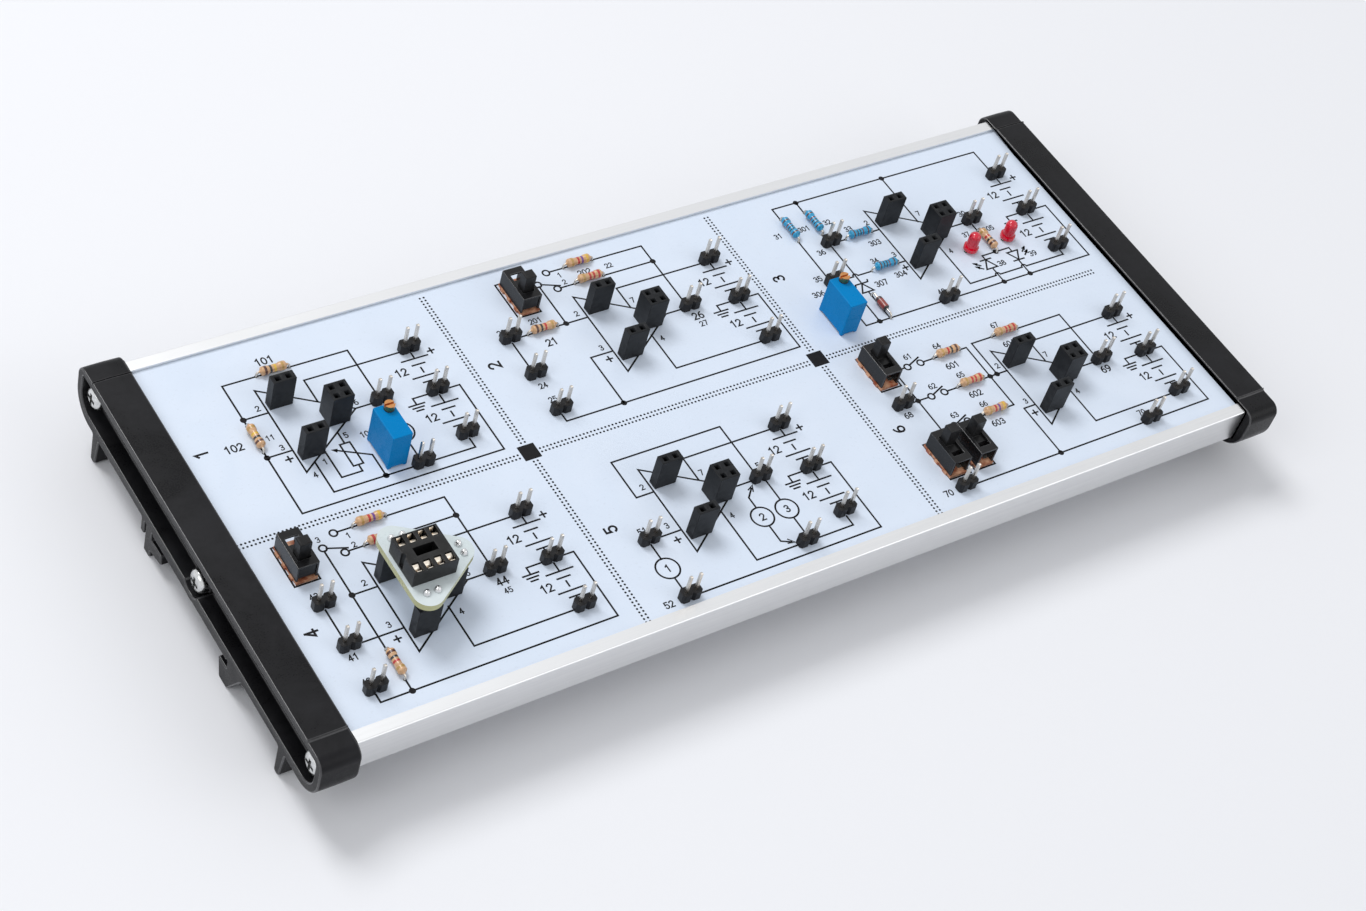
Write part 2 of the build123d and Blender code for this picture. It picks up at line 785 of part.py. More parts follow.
def switch_slider():
    height = slider_top - slider_bottom
    carriage = Pos(0, 0, slider_bottom) * extrude(Rectangle(slider_width, slider_length), height)
    knob = Pos(0, 0, slider_top) * extrude(Rectangle(knob_width, knob_depth), knob_height - slider_top)
    knob = fillet(knob.faces().sort_by(Axis.Z)[-1].edges(), knob_round)
    return carriage + knob


# Bridge: an arched strip under the slider on each side, which joins two terminals
def switch_bridge():
    half = (switch_travel + bridge_overlap) / 2
    flat = half - 2 * bridge_arch
    top = slider_bottom
    low = bridge_bottom
    strip = Polygon((-flat, top), (flat, top), (half, low + bridge_metal), (half, low),
                    (half - bridge_arch, low), (flat, top - bridge_metal), (-flat, top - bridge_metal),
                    (bridge_arch - half, low), (-half, low), (-half, low + bridge_metal), align=None)
    piece = along_x(strip, -bridge_width / 2, bridge_width)
    return [Pos(side * blade_across, 0, 0) * piece for side in (-1, 1)]


# Plug-in adapter, over the socket strips of its circuit
def adapter_pieces():
    circuit = next(circuit for circuit in circuits if circuit["name"] == adapter_circuit)
    x, y = cluster_centre(circuit)
    plugs = cluster_contacts(circuit)
    corners = [(x + adapter_corner_across, y + side * adapter_corner_spread) for side in (-1, 1)]
    corners.append((x + adapter_nose_across, y))
    rounds = Sketch() + [Pos(*corner) * Circle(adapter_corner) for corner in corners]
    outline = make_hull(rounds.edges())
    chip = (x + chip_socket_across, y + chip_socket_back)
    legs = [(chip[0] + (step - 1.5) * pin_pitch, chip[1] + side * chip_row_spread / 2)
            for side in (-1, 1) for step in range(4)]
    outline -= [Pos(*spot) * Circle(hole_radius("pin")) for spot in plugs]
    outline -= [Pos(*spot) * Circle(hole_radius("tail")) for spot in legs]
    board = on_board(extrude(outline, adapter_thickness), [(0, 0)], adapter_bottom)

    bottom = strip_height - adapter_plug
    pins = on_board(square_pin(bottom, adapter_top + adapter_tail), plugs)
    header = header_block()
    spots = pair_places(circuit) + [(bx, by + side * pin_pitch / 2)
                                    for bx, by in [block_place(circuit)] for side in (-1, 1)]
    spacers = on_board(header, spots, adapter_bottom - pin_pitch)

    solder = on_board(solder_cone("pin"), plugs, adapter_top)
    solder += on_board(Rot(180, 0, 0) * solder_cone("tail"), legs, adapter_bottom)
    socket = on_board(chip_socket(), [chip], adapter_top)
    leaves = on_board(chip_contact(), legs, adapter_top)
    return dict(adapter_board=board, adapter_pins=pins, adapter_spacers=spacers,
                adapter_solder=solder, adapter_socket=socket, adapter_contacts=leaves)


def chip_socket():
    body = extrude(Rectangle(chip_socket_length, chip_socket_width), chip_socket_height)
    body -= extrude(Rectangle(chip_opening_length, chip_opening_width), chip_socket_height)
    notch = Pos(-chip_socket_length / 2, 0) * Circle(chip_notch / 2)
    body -= Pos(0, 0, chip_floor) * extrude(notch, chip_socket_height)
    for side in (-1, 1):
        for step in range(4):
            spot = Pos((step - 1.5) * pin_pitch, side * chip_row_spread / 2)
            window = Rectangle(chip_window_length, chip_window_width)
            body -= spot * Pos(0, 0, chip_floor) * extrude(window, chip_socket_height)
            body -= spot * extrude(Rectangle(contact_metal, tail_width), chip_floor)
    return body


def chip_contact():
    across = chip_window_length / 2 - leaf_metal / 2
    leaf = Box(leaf_metal, chip_window_width - leaf_metal, leaf_height,
               align=(Align.CENTER, Align.CENTER, Align.MIN))
    floor = Box(chip_window_length, chip_window_width - leaf_metal, leaf_metal,
                align=(Align.CENTER, Align.CENTER, Align.MIN))
    contact = floor + [Pos(side * across, 0, 0) * leaf for side in (-1, 1)]
    tail = straight_lead("tail", -adapter_thickness - solder_height, chip_floor)
    return Pos(0, 0, chip_floor) * contact + tail


# Write the nodes
save("circuit_board", [circuit_board()])
save("solder_joints", solder_joints())
save("aluminium_tray", [tray()])

cap = Pos(panel_length / 2, 0, board_height) * end_cap()
save("end_cap_right", [cap])
save("end_cap_left", [mirror(cap, Plane.YZ)])
save("cap_screws", cap_screws())

for circuit in circuits:
    save(f"pin_headers_{circuit['name']}", on_board(header_block(), header_places(circuit)))
    save(f"socket_strips_{circuit['name']}", socket_strips(circuit))
save("header_pins", on_board(square_pin(tail_end, pin_height), soldered["pin"]))
save("socket_contacts", on_board(socket_contact(), soldered["tail"]))

save("carbon_resistors", axial_bodies(resistor_body(), all_places("carbon"), all_places("carbon_upright")))
save("film_resistors", axial_bodies(resistor_body(), all_places("film"), all_places("film_upright")))
save("zener_diode", axial_bodies(diode_body(), [], all_places("diodes_upright")))
save("axial_leads", all_axial_leads())

save("led_lenses", on_board(lamp_lens(), lamps))
save("led_leads", [piece for lead in lamp_leads() for piece in on_board(lead, lamps)])

trimmers = all_places("trimmers")
save("trimmer_housings", on_board(trimmer_housing(), trimmers))
save("trimmer_potting", on_board(trimmer_potting(), trimmers))
save("trimmer_substrates", on_board(trimmer_substrate(), trimmers))
save("trimmer_seals", on_board(trimmer_seal(), trimmers))
trimmer_lead = straight_lead("trimmer wire", tail_end, trimmer_floor)
save("trimmer_leads", on_board(trimmer_lead, soldered["trimmer wire"]))
for number, spot in enumerate(trimmers, 1):
    save(f"trimmer_screw_{number}", on_board(adjuster(), [spot]))
    save(f"trimmer_rotor_{number}", on_board(rotor(), [spot]))
    save(f"trimmer_wiper_{number}", on_board(wiper(), [spot]))

front_switches = all_places("switches_front")
back_switches = all_places("switches_back")
save("switch_bases", on_board(switch_base(), front_switches + back_switches))
save("switch_covers", on_board(switch_cover(), front_switches + back_switches))
save("switch_terminals", on_board(switch_terminal(), soldered["blade"]))
knob_places = [(x, y - switch_travel / 2) for x, y in front_switches]
knob_places += [(x, y + switch_travel / 2) for x, y in back_switches]
for number, spot in enumerate(knob_places, 1):
    save(f"switch_slider_{number}", on_board(switch_slider(), [spot]))
    bridges = [piece for bridge in switch_bridge() for piece in on_board(bridge, [spot])]
    save(f"switch_bridge_{number}", bridges)

for name, solids in adapter_pieces().items():
    save(name, solids)
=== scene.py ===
import itertools
import math

import bmesh
import bpy
from mathutils import Matrix, Vector


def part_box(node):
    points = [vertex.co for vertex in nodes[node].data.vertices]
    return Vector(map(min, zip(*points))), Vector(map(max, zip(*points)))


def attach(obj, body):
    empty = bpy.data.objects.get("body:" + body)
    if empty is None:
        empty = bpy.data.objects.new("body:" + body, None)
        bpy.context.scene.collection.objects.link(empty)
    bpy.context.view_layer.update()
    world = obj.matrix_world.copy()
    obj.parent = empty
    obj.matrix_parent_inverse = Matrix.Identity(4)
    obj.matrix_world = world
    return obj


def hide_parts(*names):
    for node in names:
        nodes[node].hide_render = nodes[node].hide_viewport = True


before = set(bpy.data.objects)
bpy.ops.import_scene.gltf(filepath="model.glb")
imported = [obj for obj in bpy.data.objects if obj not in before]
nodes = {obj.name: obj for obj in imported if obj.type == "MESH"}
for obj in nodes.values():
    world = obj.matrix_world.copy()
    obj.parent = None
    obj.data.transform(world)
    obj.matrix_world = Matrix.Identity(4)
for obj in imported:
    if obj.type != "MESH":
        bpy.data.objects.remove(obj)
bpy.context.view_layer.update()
scene = bpy.context.scene
mm = 0.001
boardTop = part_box("circuit_board")[1].z
print("frame loaded:", len(nodes), "nodes")

# Camera, lamps and floor

cameraSettings = {
    "place": (-0.30922, -0.29368, 0.44812),
    "turn": (41.827, -12.652, -32.407),
    "lens": 69.82,
}
lampSettings = (
    {"name": "softboxBack", "place": (-0.28, 0.80, 1.35), "size": (0.6, 0.6), "watts": 11.6},
    {"name": "softboxLeft", "place": (-1.05, -0.10, 0.85), "size": (0.7, 0.7), "watts": 3.0},
    {"name": "fillFront", "place": (0.80, -1.05, 0.80), "size": (1.2, 0.8), "watts": 3.5},
)
studioSettings = {
    "floorTone": (0.87, 0.88, 0.915, 1),
    "floorFibre": 0.985,
    "floorHalf": 4.0,
    "worldTone": (0.94, 0.95, 0.965, 1),
    "worldGlow": 0.52,
    "seenGlow": 0.93,
}


def linkNew(name, data):
    thing = bpy.data.objects.new(name, data)
    scene.collection.objects.link(thing)
    return thing


def addCamera():
    data = bpy.data.cameras.new("benchCamera")
    data.sensor_width = 36
    data.lens = cameraSettings["lens"]
    data.clip_start = 0.01
    data.clip_end = 20
    camera = linkNew("benchCamera", data)
    camera.location = cameraSettings["place"]
    camera.rotation_euler = [math.radians(turn) for turn in cameraSettings["turn"]]
    scene.camera = camera


def addLamps():
    for settings in lampSettings:
        data = bpy.data.lights.new(settings["name"], "AREA")
        data.shape = "RECTANGLE"
        data.size, data.size_y = settings["size"]
        data.energy = settings["watts"]
        lamp = linkNew(settings["name"], data)
        lamp.location = settings["place"]
        towards = -lamp.location
        lamp.rotation_euler = towards.to_track_quat("-Z", "Y").to_euler()


# Node helpers: a value that is a socket is linked, any other value is set

def feed(tree, node, inputs):
    for key, value in inputs.items():
        if isinstance(value, bpy.types.NodeSocket):
            tree.links.new(value, node.inputs[key])
        else:
            node.inputs[key].default_value = value


def add(tree, kind, inputs=None, **settings):
    node = tree.nodes.new(kind)
    for key, value in settings.items():
        setattr(node, key, value)
    feed(tree, node, inputs or {})
    return node


def objectPlace(tree):
    return add(tree, "ShaderNodeTexCoord").outputs["Object"]


def noise(tree, scale, detail, where=None, **shape):
    inputs = {"Vector": where or objectPlace(tree), "Scale": scale, "Detail": detail, **shape}
    return add(tree, "ShaderNodeTexNoise", inputs).outputs[0]


def faceNormalZ(tree):
    facing = add(tree, "ShaderNodeNewGeometry").outputs["Normal"]
    return add(tree, "ShaderNodeSeparateXYZ", {"Vector": facing}).outputs["Z"]


def mixColours(tree, factor, first, second):
    node = add(tree, "ShaderNodeMix", {0: factor, 6: first, 7: second}, data_type="RGBA")
    return node.outputs[2]


def spread(tree, value, low, high, newLow=0.0, newHigh=1.0):
    node = add(tree, "ShaderNodeMapRange", {"Value": value, "From Min": low, "From Max": high,
                                            "To Min": newLow, "To Max": newHigh})
    return node.outputs["Result"]


def maths(tree, operation, first, second):
    return add(tree, "ShaderNodeMath", {0: first, 1: second}, operation=operation).outputs[0]


def blended(tree, first, share, second):
    return maths(tree, "ADD", maths(tree, "MULTIPLY", first, share),
                 maths(tree, "MULTIPLY", second, 1 - share))


def openGroup(name, inputs):
    group = bpy.data.node_groups.new(name, "ShaderNodeTree")
    kinds = {1: "NodeSocketFloat", 3: "NodeSocketVector", 4: "NodeSocketColor"}
    for label, value in inputs.items():
        size = len(value) if isinstance(value, tuple) else 1
        socket = group.interface.new_socket(name=label, in_out="INPUT", socket_type=kinds[size])
        socket.default_value = value
    return group, group.nodes.new("NodeGroupInput").outputs


def closeGroup(group, results):
    kinds = {"VALUE": "NodeSocketFloat", "VECTOR": "NodeSocketVector", "RGBA": "NodeSocketColor"}
    for label, result in results.items():
        group.interface.new_socket(name=label, in_out="OUTPUT", socket_type=kinds[result.type])
    feed(group, group.nodes.new("NodeGroupOutput"), results)
    return group


def useGroup(tree, group, inputs):
    return add(tree, "ShaderNodeGroup", inputs, node_tree=group).outputs


def newMaterial(name):
    material = bpy.data.materials.new(name)
    material.use_nodes = True
    tree = material.node_tree
    tree.nodes.clear()
    shader = add(tree, "ShaderNodeBsdfPrincipled")
    add(tree, "ShaderNodeOutputMaterial", {"Surface": shader.outputs["BSDF"]})
    return material, tree, shader


def relief(tree, shader, height, strength, distance):
    bump = add(tree, "ShaderNodeBump", {"Height": height, "Strength": strength,
                                        "Distance": distance})
    feed(tree, shader, {"Normal": bump.outputs["Normal"]})


# Shared effects

def mouldedSkinGroup():
    group, given = openGroup("mouldedSkin", {
        "Tone": (0.02, 0.02, 0.02, 1), "Light Tone": (0.05, 0.05, 0.05, 1),
        "Grain Scale": 3000.0, "Mottle Scale": 160.0, "Rough Low": 0.35, "Rough High": 0.55})
    grain = noise(group, given["Grain Scale"], 2.0)
    mottle = noise(group, given["Mottle Scale"], 5.0, Roughness=0.62, Distortion=0.8)
    patch = spread(group, mottle, 0.42, 0.68)
    colour = mixColours(group, patch, given["Tone"], given["Light Tone"])
    blend = blended(group, grain, 0.4, mottle)
    rough = spread(group, blend, 0.35, 0.65, given["Rough Low"], given["Rough High"])
    return closeGroup(group, {"Colour": colour, "Roughness": rough, "Height": blend})


def dustGroup():
    group, given = openGroup("settledDust", {
        "Colour": (0.5, 0.5, 0.5, 1), "Dust Tone": (0.42, 0.41, 0.39, 1), "Amount": 0.3,
        "Speck Scale": 2600.0})
    up = spread(group, faceNormalZ(group), 0.3, 0.95)
    specks = spread(group, noise(group, given["Speck Scale"], 1.0), 0.64, 0.74)
    haze = spread(group, noise(group, 90.0, 4.0), 0.4, 0.75, 0.0, 0.35)
    mask = maths(group, "MULTIPLY", maths(group, "MAXIMUM", specks, haze), up)
    mask = maths(group, "MULTIPLY", mask, given["Amount"])
    colour = mixColours(group, mask, given["Colour"], given["Dust Tone"])
    return closeGroup(group, {"Colour": colour, "Mask": mask})


def edgeWearGroup():
    group, given = openGroup("edgeWear", {
        "Colour": (0.5, 0.5, 0.5, 1), "Worn Tone": (0.2, 0.2, 0.2, 1), "Amount": 0.5})
    sharp = spread(group, add(group, "ShaderNodeNewGeometry").outputs["Pointiness"], 0.515, 0.60)
    broken = spread(group, noise(group, 700.0, 3.0), 0.35, 0.62)
    mask = maths(group, "MULTIPLY", maths(group, "MULTIPLY", sharp, broken), given["Amount"])
    colour = mixColours(group, mask, given["Colour"], given["Worn Tone"])
    return closeGroup(group, {"Colour": colour})


def drawnMetalGroup():
    group, given = openGroup("drawnMetal", {
        "Tone": (0.7, 0.7, 0.7, 1), "Dark Tone": (0.5, 0.5, 0.5, 1), "Stretch": (1.0, 1.0, 1.0),
        "Scale": 900.0, "Rough Low": 0.25, "Rough High": 0.45})
    drawn = add(group, "ShaderNodeVectorMath", {0: objectPlace(group), 1: given["Stretch"]},
                operation="MULTIPLY").outputs[0]
    lines = noise(group, given["Scale"], 4.0, drawn, Roughness=0.7)
    blend = blended(group, lines, 0.65, noise(group, 120.0, 4.0))
    colour = mixColours(group, spread(group, blend, 0.38, 0.62), given["Tone"], given["Dark Tone"])
    rough = spread(group, blend, 0.36, 0.64, given["Rough Low"], given["Rough High"])
    return closeGroup(group, {"Colour": colour, "Roughness": rough, "Height": lines})


mouldedSkin = mouldedSkinGroup()
settledDust = dustGroup()
edgeWear = edgeWearGroup()
drawnMetal = drawnMetalGroup()


def skinOf(tree, tone, light, grain, mottle, rough):
    return useGroup(tree, mouldedSkin, {"Tone": (*tone, 1), "Light Tone": (*light, 1),
                                        "Grain Scale": grain, "Mottle Scale": mottle,
                                        "Rough Low": rough[0], "Rough High": rough[1]})


def moulded(name, tone, light, worn, rough=(0.35, 0.55), grain=3000.0, mottle=160.0, bump=0.25,
            wear=0.5, dust=0.25, shine=0.35):
    material, tree, shader = newMaterial(name)
    skin = skinOf(tree, tone, light, grain, mottle, rough)
    edges = useGroup(tree, edgeWear, {"Colour": skin["Colour"], "Worn Tone": (*worn, 1),
                                      "Amount": wear})
    dusty = useGroup(tree, settledDust, {"Colour": edges["Colour"], "Amount": dust})
    feed(tree, shader, {"Base Color": dusty["Colour"], "Roughness": skin["Roughness"],
                        "Specular IOR Level": shine})
    relief(tree, shader, skin["Height"], bump, 0.00012)
    return material


def metal(name, tone, dark, stretch=(1.0, 1.0, 1.0), scale=900.0, rough=(0.22, 0.42), bump=0.15):
    material, tree, shader = newMaterial(name)
    drawn = useGroup(tree, drawnMetal, {"Tone": (*tone, 1), "Dark Tone": (*dark, 1),
                                        "Stretch": stretch, "Scale": scale, "Rough Low": rough[0],
                                        "Rough High": rough[1]})
    feed(tree, shader, {"Base Color": drawn["Colour"], "Roughness": drawn["Roughness"],
                        "Metallic": 1.0})
    relief(tree, shader, drawn["Height"], bump, 0.00008)
    return material


# Printed board: glossy lacquer on its faces, bare laminate at its edges

def lacqueredBoard(name, lacquer, deep, laminate, rough, dust):
    material, tree, shader = newMaterial(name)
    skin = skinOf(tree, deep, lacquer, 1500.0, 45.0, rough)
    dusty = useGroup(tree, settledDust, {"Colour": skin["Colour"], "Amount": dust,
                                         "Speck Scale": 1700.0, "Dust Tone": (0.40, 0.43, 0.47, 1)})
    flat = spread(tree, maths(tree, "ABSOLUTE", faceNormalZ(tree), 0.0), 0.4, 0.6)
    layers = add(tree, "ShaderNodeTexWave", {"Vector": objectPlace(tree), "Scale": 900.0,
                                             "Distortion": 2.0, "Detail": 2.0},
                 bands_direction="Z").outputs["Fac"]
    edge = mixColours(tree, layers, (*laminate, 1), (*[part * 0.72 for part in laminate], 1))
    roughness = maths(tree, "ADD", skin["Roughness"], maths(tree, "MULTIPLY", dusty["Mask"], 0.3))
    feed(tree, shader, {"Base Color": mixColours(tree, flat, edge, dusty["Colour"]),
                        "Roughness": roughness})
    relief(tree, shader, skin["Height"], 0.06, 0.00015)
    return material


def paintedBands(name, rough, shine):
    material, tree, shader = newMaterial(name)
    paint = add(tree, "ShaderNodeVertexColor", layer_name="paint").outputs["Color"]
    blotch = noise(tree, 1400.0, 3.0)
    shade = spread(tree, blotch, 0.3, 0.7, 0.82, 1.1)
    colour = add(tree, "ShaderNodeVectorMath", {0: paint, "Scale": shade},
                 operation="SCALE").outputs[0]
    dusty = useGroup(tree, settledDust, {"Colour": colour, "Amount": 0.2})
    roughness = spread(tree, blotch, 0.3, 0.7, *rough)
    feed(tree, shader, {"Base Color": dusty["Colour"], "Roughness": roughness, "Coat Weight": shine,
                        "Coat Roughness": 0.18})
    relief(tree, shader, blotch, 0.25, 0.0001)
    return material


def clearLens(name, tone, rough, transmission):
    material, tree, shader = newMaterial(name)
    cloud = noise(tree, 420.0, 2.0)
    deep = [part * 0.75 for part in tone]
    colour = mixColours(tree, spread(tree, cloud, 0.35, 0.65), (*deep, 1), (*tone, 1))
    feed(tree, shader, {"Base Color": colour, "Roughness": spread(tree, cloud, 0.3, 0.7, *rough),
                        "Transmission Weight": transmission, "IOR": 1.5, "Coat Weight": 0.5,
                        "Coat Roughness": 0.06})
    relief(tree, shader, cloud, 0.05, 0.0001)
    return material


finishes = {
    "board": lacqueredBoard("boardLacquer", (0.72, 0.80, 0.925), (0.70, 0.785, 0.915),
                            (0.42, 0.40, 0.16), (0.28, 0.40), 0.10),
    "adapter": lacqueredBoard("adapterLacquer", (0.73, 0.79, 0.80), (0.66, 0.74, 0.76),
                              (0.58, 0.58, 0.30), (0.24, 0.36), 0.12),
    "cap": moulded("blackCapMoulding", (0.007, 0.007, 0.008), (0.012, 0.012, 0.014),
                   (0.03, 0.03, 0.033), rough=(0.20, 0.50), grain=2600.0, mottle=60.0, bump=0.14,
                   wear=0.1, dust=0.0, shine=0.14),
    "header": moulded("headerPlastic", (0.008, 0.008, 0.009), (0.012, 0.012, 0.014),
                      (0.05, 0.05, 0.055), rough=(0.28, 0.44), mottle=260.0, bump=0.12, wear=0.2,
                      dust=0.04, shine=0.20),
    "strip": moulded("stripPlastic", (0.011, 0.012, 0.014), (0.015, 0.016, 0.018),
                     (0.06, 0.065, 0.07), rough=(0.30, 0.44), mottle=150.0, bump=0.08, wear=0.2,
                     dust=0.02, shine=0.13),
    "trimmer": moulded("trimmerBlue", (0.0, 0.205, 0.52), (0.0, 0.218, 0.55), (0.01, 0.25, 0.60),
                       rough=(0.22, 0.32), mottle=90.0, bump=0.08, wear=0.1, dust=0.0, shine=0.07),
    "switchcover": moulded("switchCoverBlack", (0.007, 0.007, 0.008), (0.010, 0.010, 0.011),
                           (0.03, 0.03, 0.033), rough=(0.18, 0.28), mottle=180.0, bump=0.06,
                           wear=0.1, dust=0.0, shine=0.26),
    # Painted highlight: a lighter, glossier black laid on the rounded edges of the caps and switch
    # shells
    "paintedHighlightEdge": moulded("paintedHighlightBlackEdge", (0.040, 0.040, 0.043), (0.060, 0.060, 0.064),
                          (0.06, 0.06, 0.06), rough=(0.16, 0.30), mottle=300.0, bump=0.1, wear=0.0,
                          dust=0.0, shine=0.45),
    "knob": moulded("knobBlack", (0.008, 0.008, 0.009), (0.012, 0.012, 0.013), (0.05, 0.05, 0.05),
                    rough=(0.28, 0.42), mottle=240.0, bump=0.10, wear=0.2, dust=0.04, shine=0.20),
    "phenolic": moulded("phenolicBrown", (0.26, 0.052, 0.018), (0.36, 0.085, 0.032),
                        (0.74, 0.42, 0.26), rough=(0.35, 0.5), mottle=420.0, bump=0.2, wear=0.9,
                        dust=0.06),
    "chipSocket": moulded("chipSocketBlack", (0.008, 0.008, 0.008), (0.012, 0.012, 0.013),
                          (0.05, 0.05, 0.05), rough=(0.30, 0.44), mottle=220.0, bump=0.12, wear=0.2,
                          dust=0.05, shine=0.26),
    "potting": moulded("pottingResin", (0.30, 0.24, 0.14), (0.42, 0.35, 0.22), (0.5, 0.45, 0.3)),
    "ceramic": moulded("ceramicPlate", (0.62, 0.62, 0.60), (0.72, 0.72, 0.70), (0.8, 0.8, 0.8),
                       rough=(0.5, 0.7)),
    "seal": moulded("sealRubber", (0.012, 0.012, 0.012), (0.03, 0.03, 0.03), (0.06, 0.06, 0.06),
                    rough=(0.5, 0.7)),
    "rotor": moulded("rotorNylon", (0.60, 0.58, 0.50), (0.70, 0.68, 0.60), (0.8, 0.8, 0.85)),
    "ink": moulded("printInk", (0.006, 0.006, 0.007), (0.010, 0.010, 0.012), (0.02, 0.02, 0.02),
                   rough=(0.42, 0.60), grain=5000.0, mottle=900.0, bump=0.1, wear=0.0, dust=0.0,
                   shine=0.15),
    "tray": metal("satinAluminium", (0.82, 0.825, 0.83), (0.77, 0.775, 0.785),
                  stretch=(0.015, 1.0, 1.0), scale=1100.0, rough=(0.30, 0.38), bump=0.03),
    "screw": metal("zincScrew", (0.76, 0.765, 0.76), (0.56, 0.57, 0.57), scale=1200.0,
                   rough=(0.16, 0.30)),
    "tin": metal("tinnedPin", (0.70, 0.655, 0.60), (0.52, 0.475, 0.42), stretch=(1.0, 1.0, 0.25),
                 scale=1500.0, rough=(0.2, 0.34), bump=0.08),
    "contact": metal("springContact", (0.96, 0.89, 0.79), (0.86, 0.75, 0.61), scale=1500.0,
                     rough=(0.30, 0.46)),
    "solder": metal("solderFillet", (0.82, 0.82, 0.82), (0.6, 0.6, 0.61), scale=1200.0,
                    rough=(0.12, 0.26), bump=0.25),
    "brass": metal("adjusterBrass", (0.78, 0.38, 0.15), (0.50, 0.22, 0.08), scale=1500.0,
                   rough=(0.22, 0.38)),
    "terminal": metal("silveredTerminal", (0.80, 0.78, 0.74), (0.60, 0.57, 0.52), scale=1500.0),
    "resistorPaint": paintedBands("resistorPaint", (0.26, 0.38), 0.4),
    "lens": clearLens("redLens", (0.78, 0.0, 0.030), (0.10, 0.20), 0.06),
}
print("materials ready:", len(finishes))

nodeFinishes = {
    "circuit_board": "board", "solder_joints": "solder", "aluminium_tray": "tray",
    "cap_screws": "screw", "header_pins": "tin", "socket_contacts": "contact",
    "axial_leads": "tin", "led_lenses": "lens", "led_leads": "tin", "trimmer_potting": "potting",
    "trimmer_substrates": "ceramic", "trimmer_seals": "seal", "trimmer_leads": "tin",
    "switch_bases": "phenolic", "switch_terminals": "terminal", "adapter_board": "adapter",
    "adapter_pins": "tin",
    "trimmer_screw_1": "brass", "trimmer_screw_2": "brass", "trimmer_rotor_1": "rotor",
    "trimmer_rotor_2": "rotor", "trimmer_wiper_1": "terminal", "trimmer_wiper_2": "terminal",
}
for number in range(1, 6):
    nodeFinishes[f"switch_bridge_{number}"] = "terminal"

for nodeName, finish in nodeFinishes.items():
    slots = nodes[nodeName].data.materials
    slots.clear()
    slots.append(finishes[finish])
print("nodes finished:", len(nodeFinishes))

# Where the circuits stand on the board: column and row of the cell, the amplifier's left side and
# axis, and the line of the supply headers. Lengths are millimetres on the board.

columnStarts = (-120.8, -48.8, 30.4)
circuitPlaces = {
    "offset": {"cell": (0, 1), "side": 22.8, "axis": 24.7, "supply": 60.3, "number": "1"},
    "inverting": {"cell": (1, 1), "side": 32.5, "axis": 24.9, "supply": 70.1, "number": "2"},
    "comparator": {"cell": (2, 1), "side": 38.8, "axis": 25.2, "supply": 80.2, "number": "3"},
    "noninverting": {"cell": (0, 0), "side": 22.4, "axis": 24.8, "supply": 60.0, "number": "4"},
    "follower": {"cell": (1, 0), "side": 19.0, "axis": 24.9, "supply": 56.6, "number": "5"},
    "adder": {"cell": (2, 0), "side": 41.1, "axis": 25.0, "supply": 78.8, "number": "6"},
}
rowHeight = 51.0
pinPitch = 2.54


def cellCorner(name):
    column, row = circuitPlaces[name]["cell"]
    return columnStarts[column], (row - 1) * rowHeight


# Moulded pieces: each CAD node's own form, with its edges rounded as the mould leaves them

# On the caps and switch shells the rounded edges take a lighter black: a painted highlight
softened = [
    {"node": "end_cap_left", "piece": "capMouldingLeft", "finish": "cap", "slot": "cap",
     "edge": 0.35, "paintedEdgeHighlight": "paintedHighlightEdge"},
    {"node": "end_cap_right", "piece": "capMouldingRight", "finish": "cap", "slot": "cap",
     "edge": 0.35, "paintedEdgeHighlight": "paintedHighlightEdge"},
    {"node": "trimmer_housings", "piece": "trimmerCases", "finish": "trimmer", "slot": "trimmer",
     "edge": 0.2},
    {"node": "switch_covers", "piece": "switchShells", "finish": "switchcover",
     "slot": "switchcover", "edge": 0.14, "paintedEdgeHighlight": "paintedHighlightEdge"},
    {"node": "adapter_spacers", "piece": "adapterHeaderBlocks", "finish": "header",
     "slot": "header", "edge": 0.1, "body": "adapter"},
]
for circuitName in circuitPlaces:
    softened.append({"node": f"pin_headers_{circuitName}", "piece": f"headerBlocks-{circuitName}",
                     "finish": "header", "slot": "header", "edge": 0.11})
for number in range(1, 6):
    softened.append({"node": f"switch_slider_{number}", "piece": f"switchKnob-{number}",
                     "finish": "knob", "slot": "knob", "edge": 0.12,
                     "body": f"switch_knob_{number}"})
softening = {
    "merge": 2e-6, "flat": 0.8,  # metres, and degrees between the parts of one flat face
    "segments": 3, "from": 40,  # steps of each rounded edge, and degrees that make an edge
}


def mergedForm(nodeName):
    form = bmesh.new()
    form.from_mesh(nodes[nodeName].data)
    bmesh.ops.remove_doubles(form, verts=form.verts, dist=softening["merge"])
    bmesh.ops.dissolve_limit(form, angle_limit=math.radians(softening["flat"]), verts=form.verts,
                             edges=form.edges)
    return form


def placeForm(form, settings):
    mesh = bpy.data.meshes.new(settings["piece"])
    form.to_mesh(mesh)
    form.free()
    mesh.materials.append(finishes[settings["finish"]])
    piece = linkNew(settings["piece"], mesh)
    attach(piece, settings.get("body", "root"))
    if "node" in settings:
        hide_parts(settings["node"])
    return piece


def dressForm(form, settings):
    piece = placeForm(form, settings)
    piece.data.polygons.foreach_set("use_smooth", [True] * len(piece.data.polygons))
    if "edge" not in settings:
        return piece
    rounded = piece.modifiers.new("roundedEdges", "BEVEL")
    rounded.width = settings["edge"] * mm
    rounded.segments = softening["segments"]
    rounded.limit_method = "ANGLE"
    rounded.angle_limit = math.radians(softening["from"])
    rounded.use_clamp_overlap = False
    rounded.miter_outer = "MITER_ARC"
    # Painted highlight: the rounded edges take the lighter edge material
    if "paintedEdgeHighlight" in settings:
        piece.data.materials.append(finishes[settings["paintedEdgeHighlight"]])
        rounded.material = 1
    even = piece.modifiers.new("evenShading", "WEIGHTED_NORMAL")
    even.keep_sharp = True
    return piece


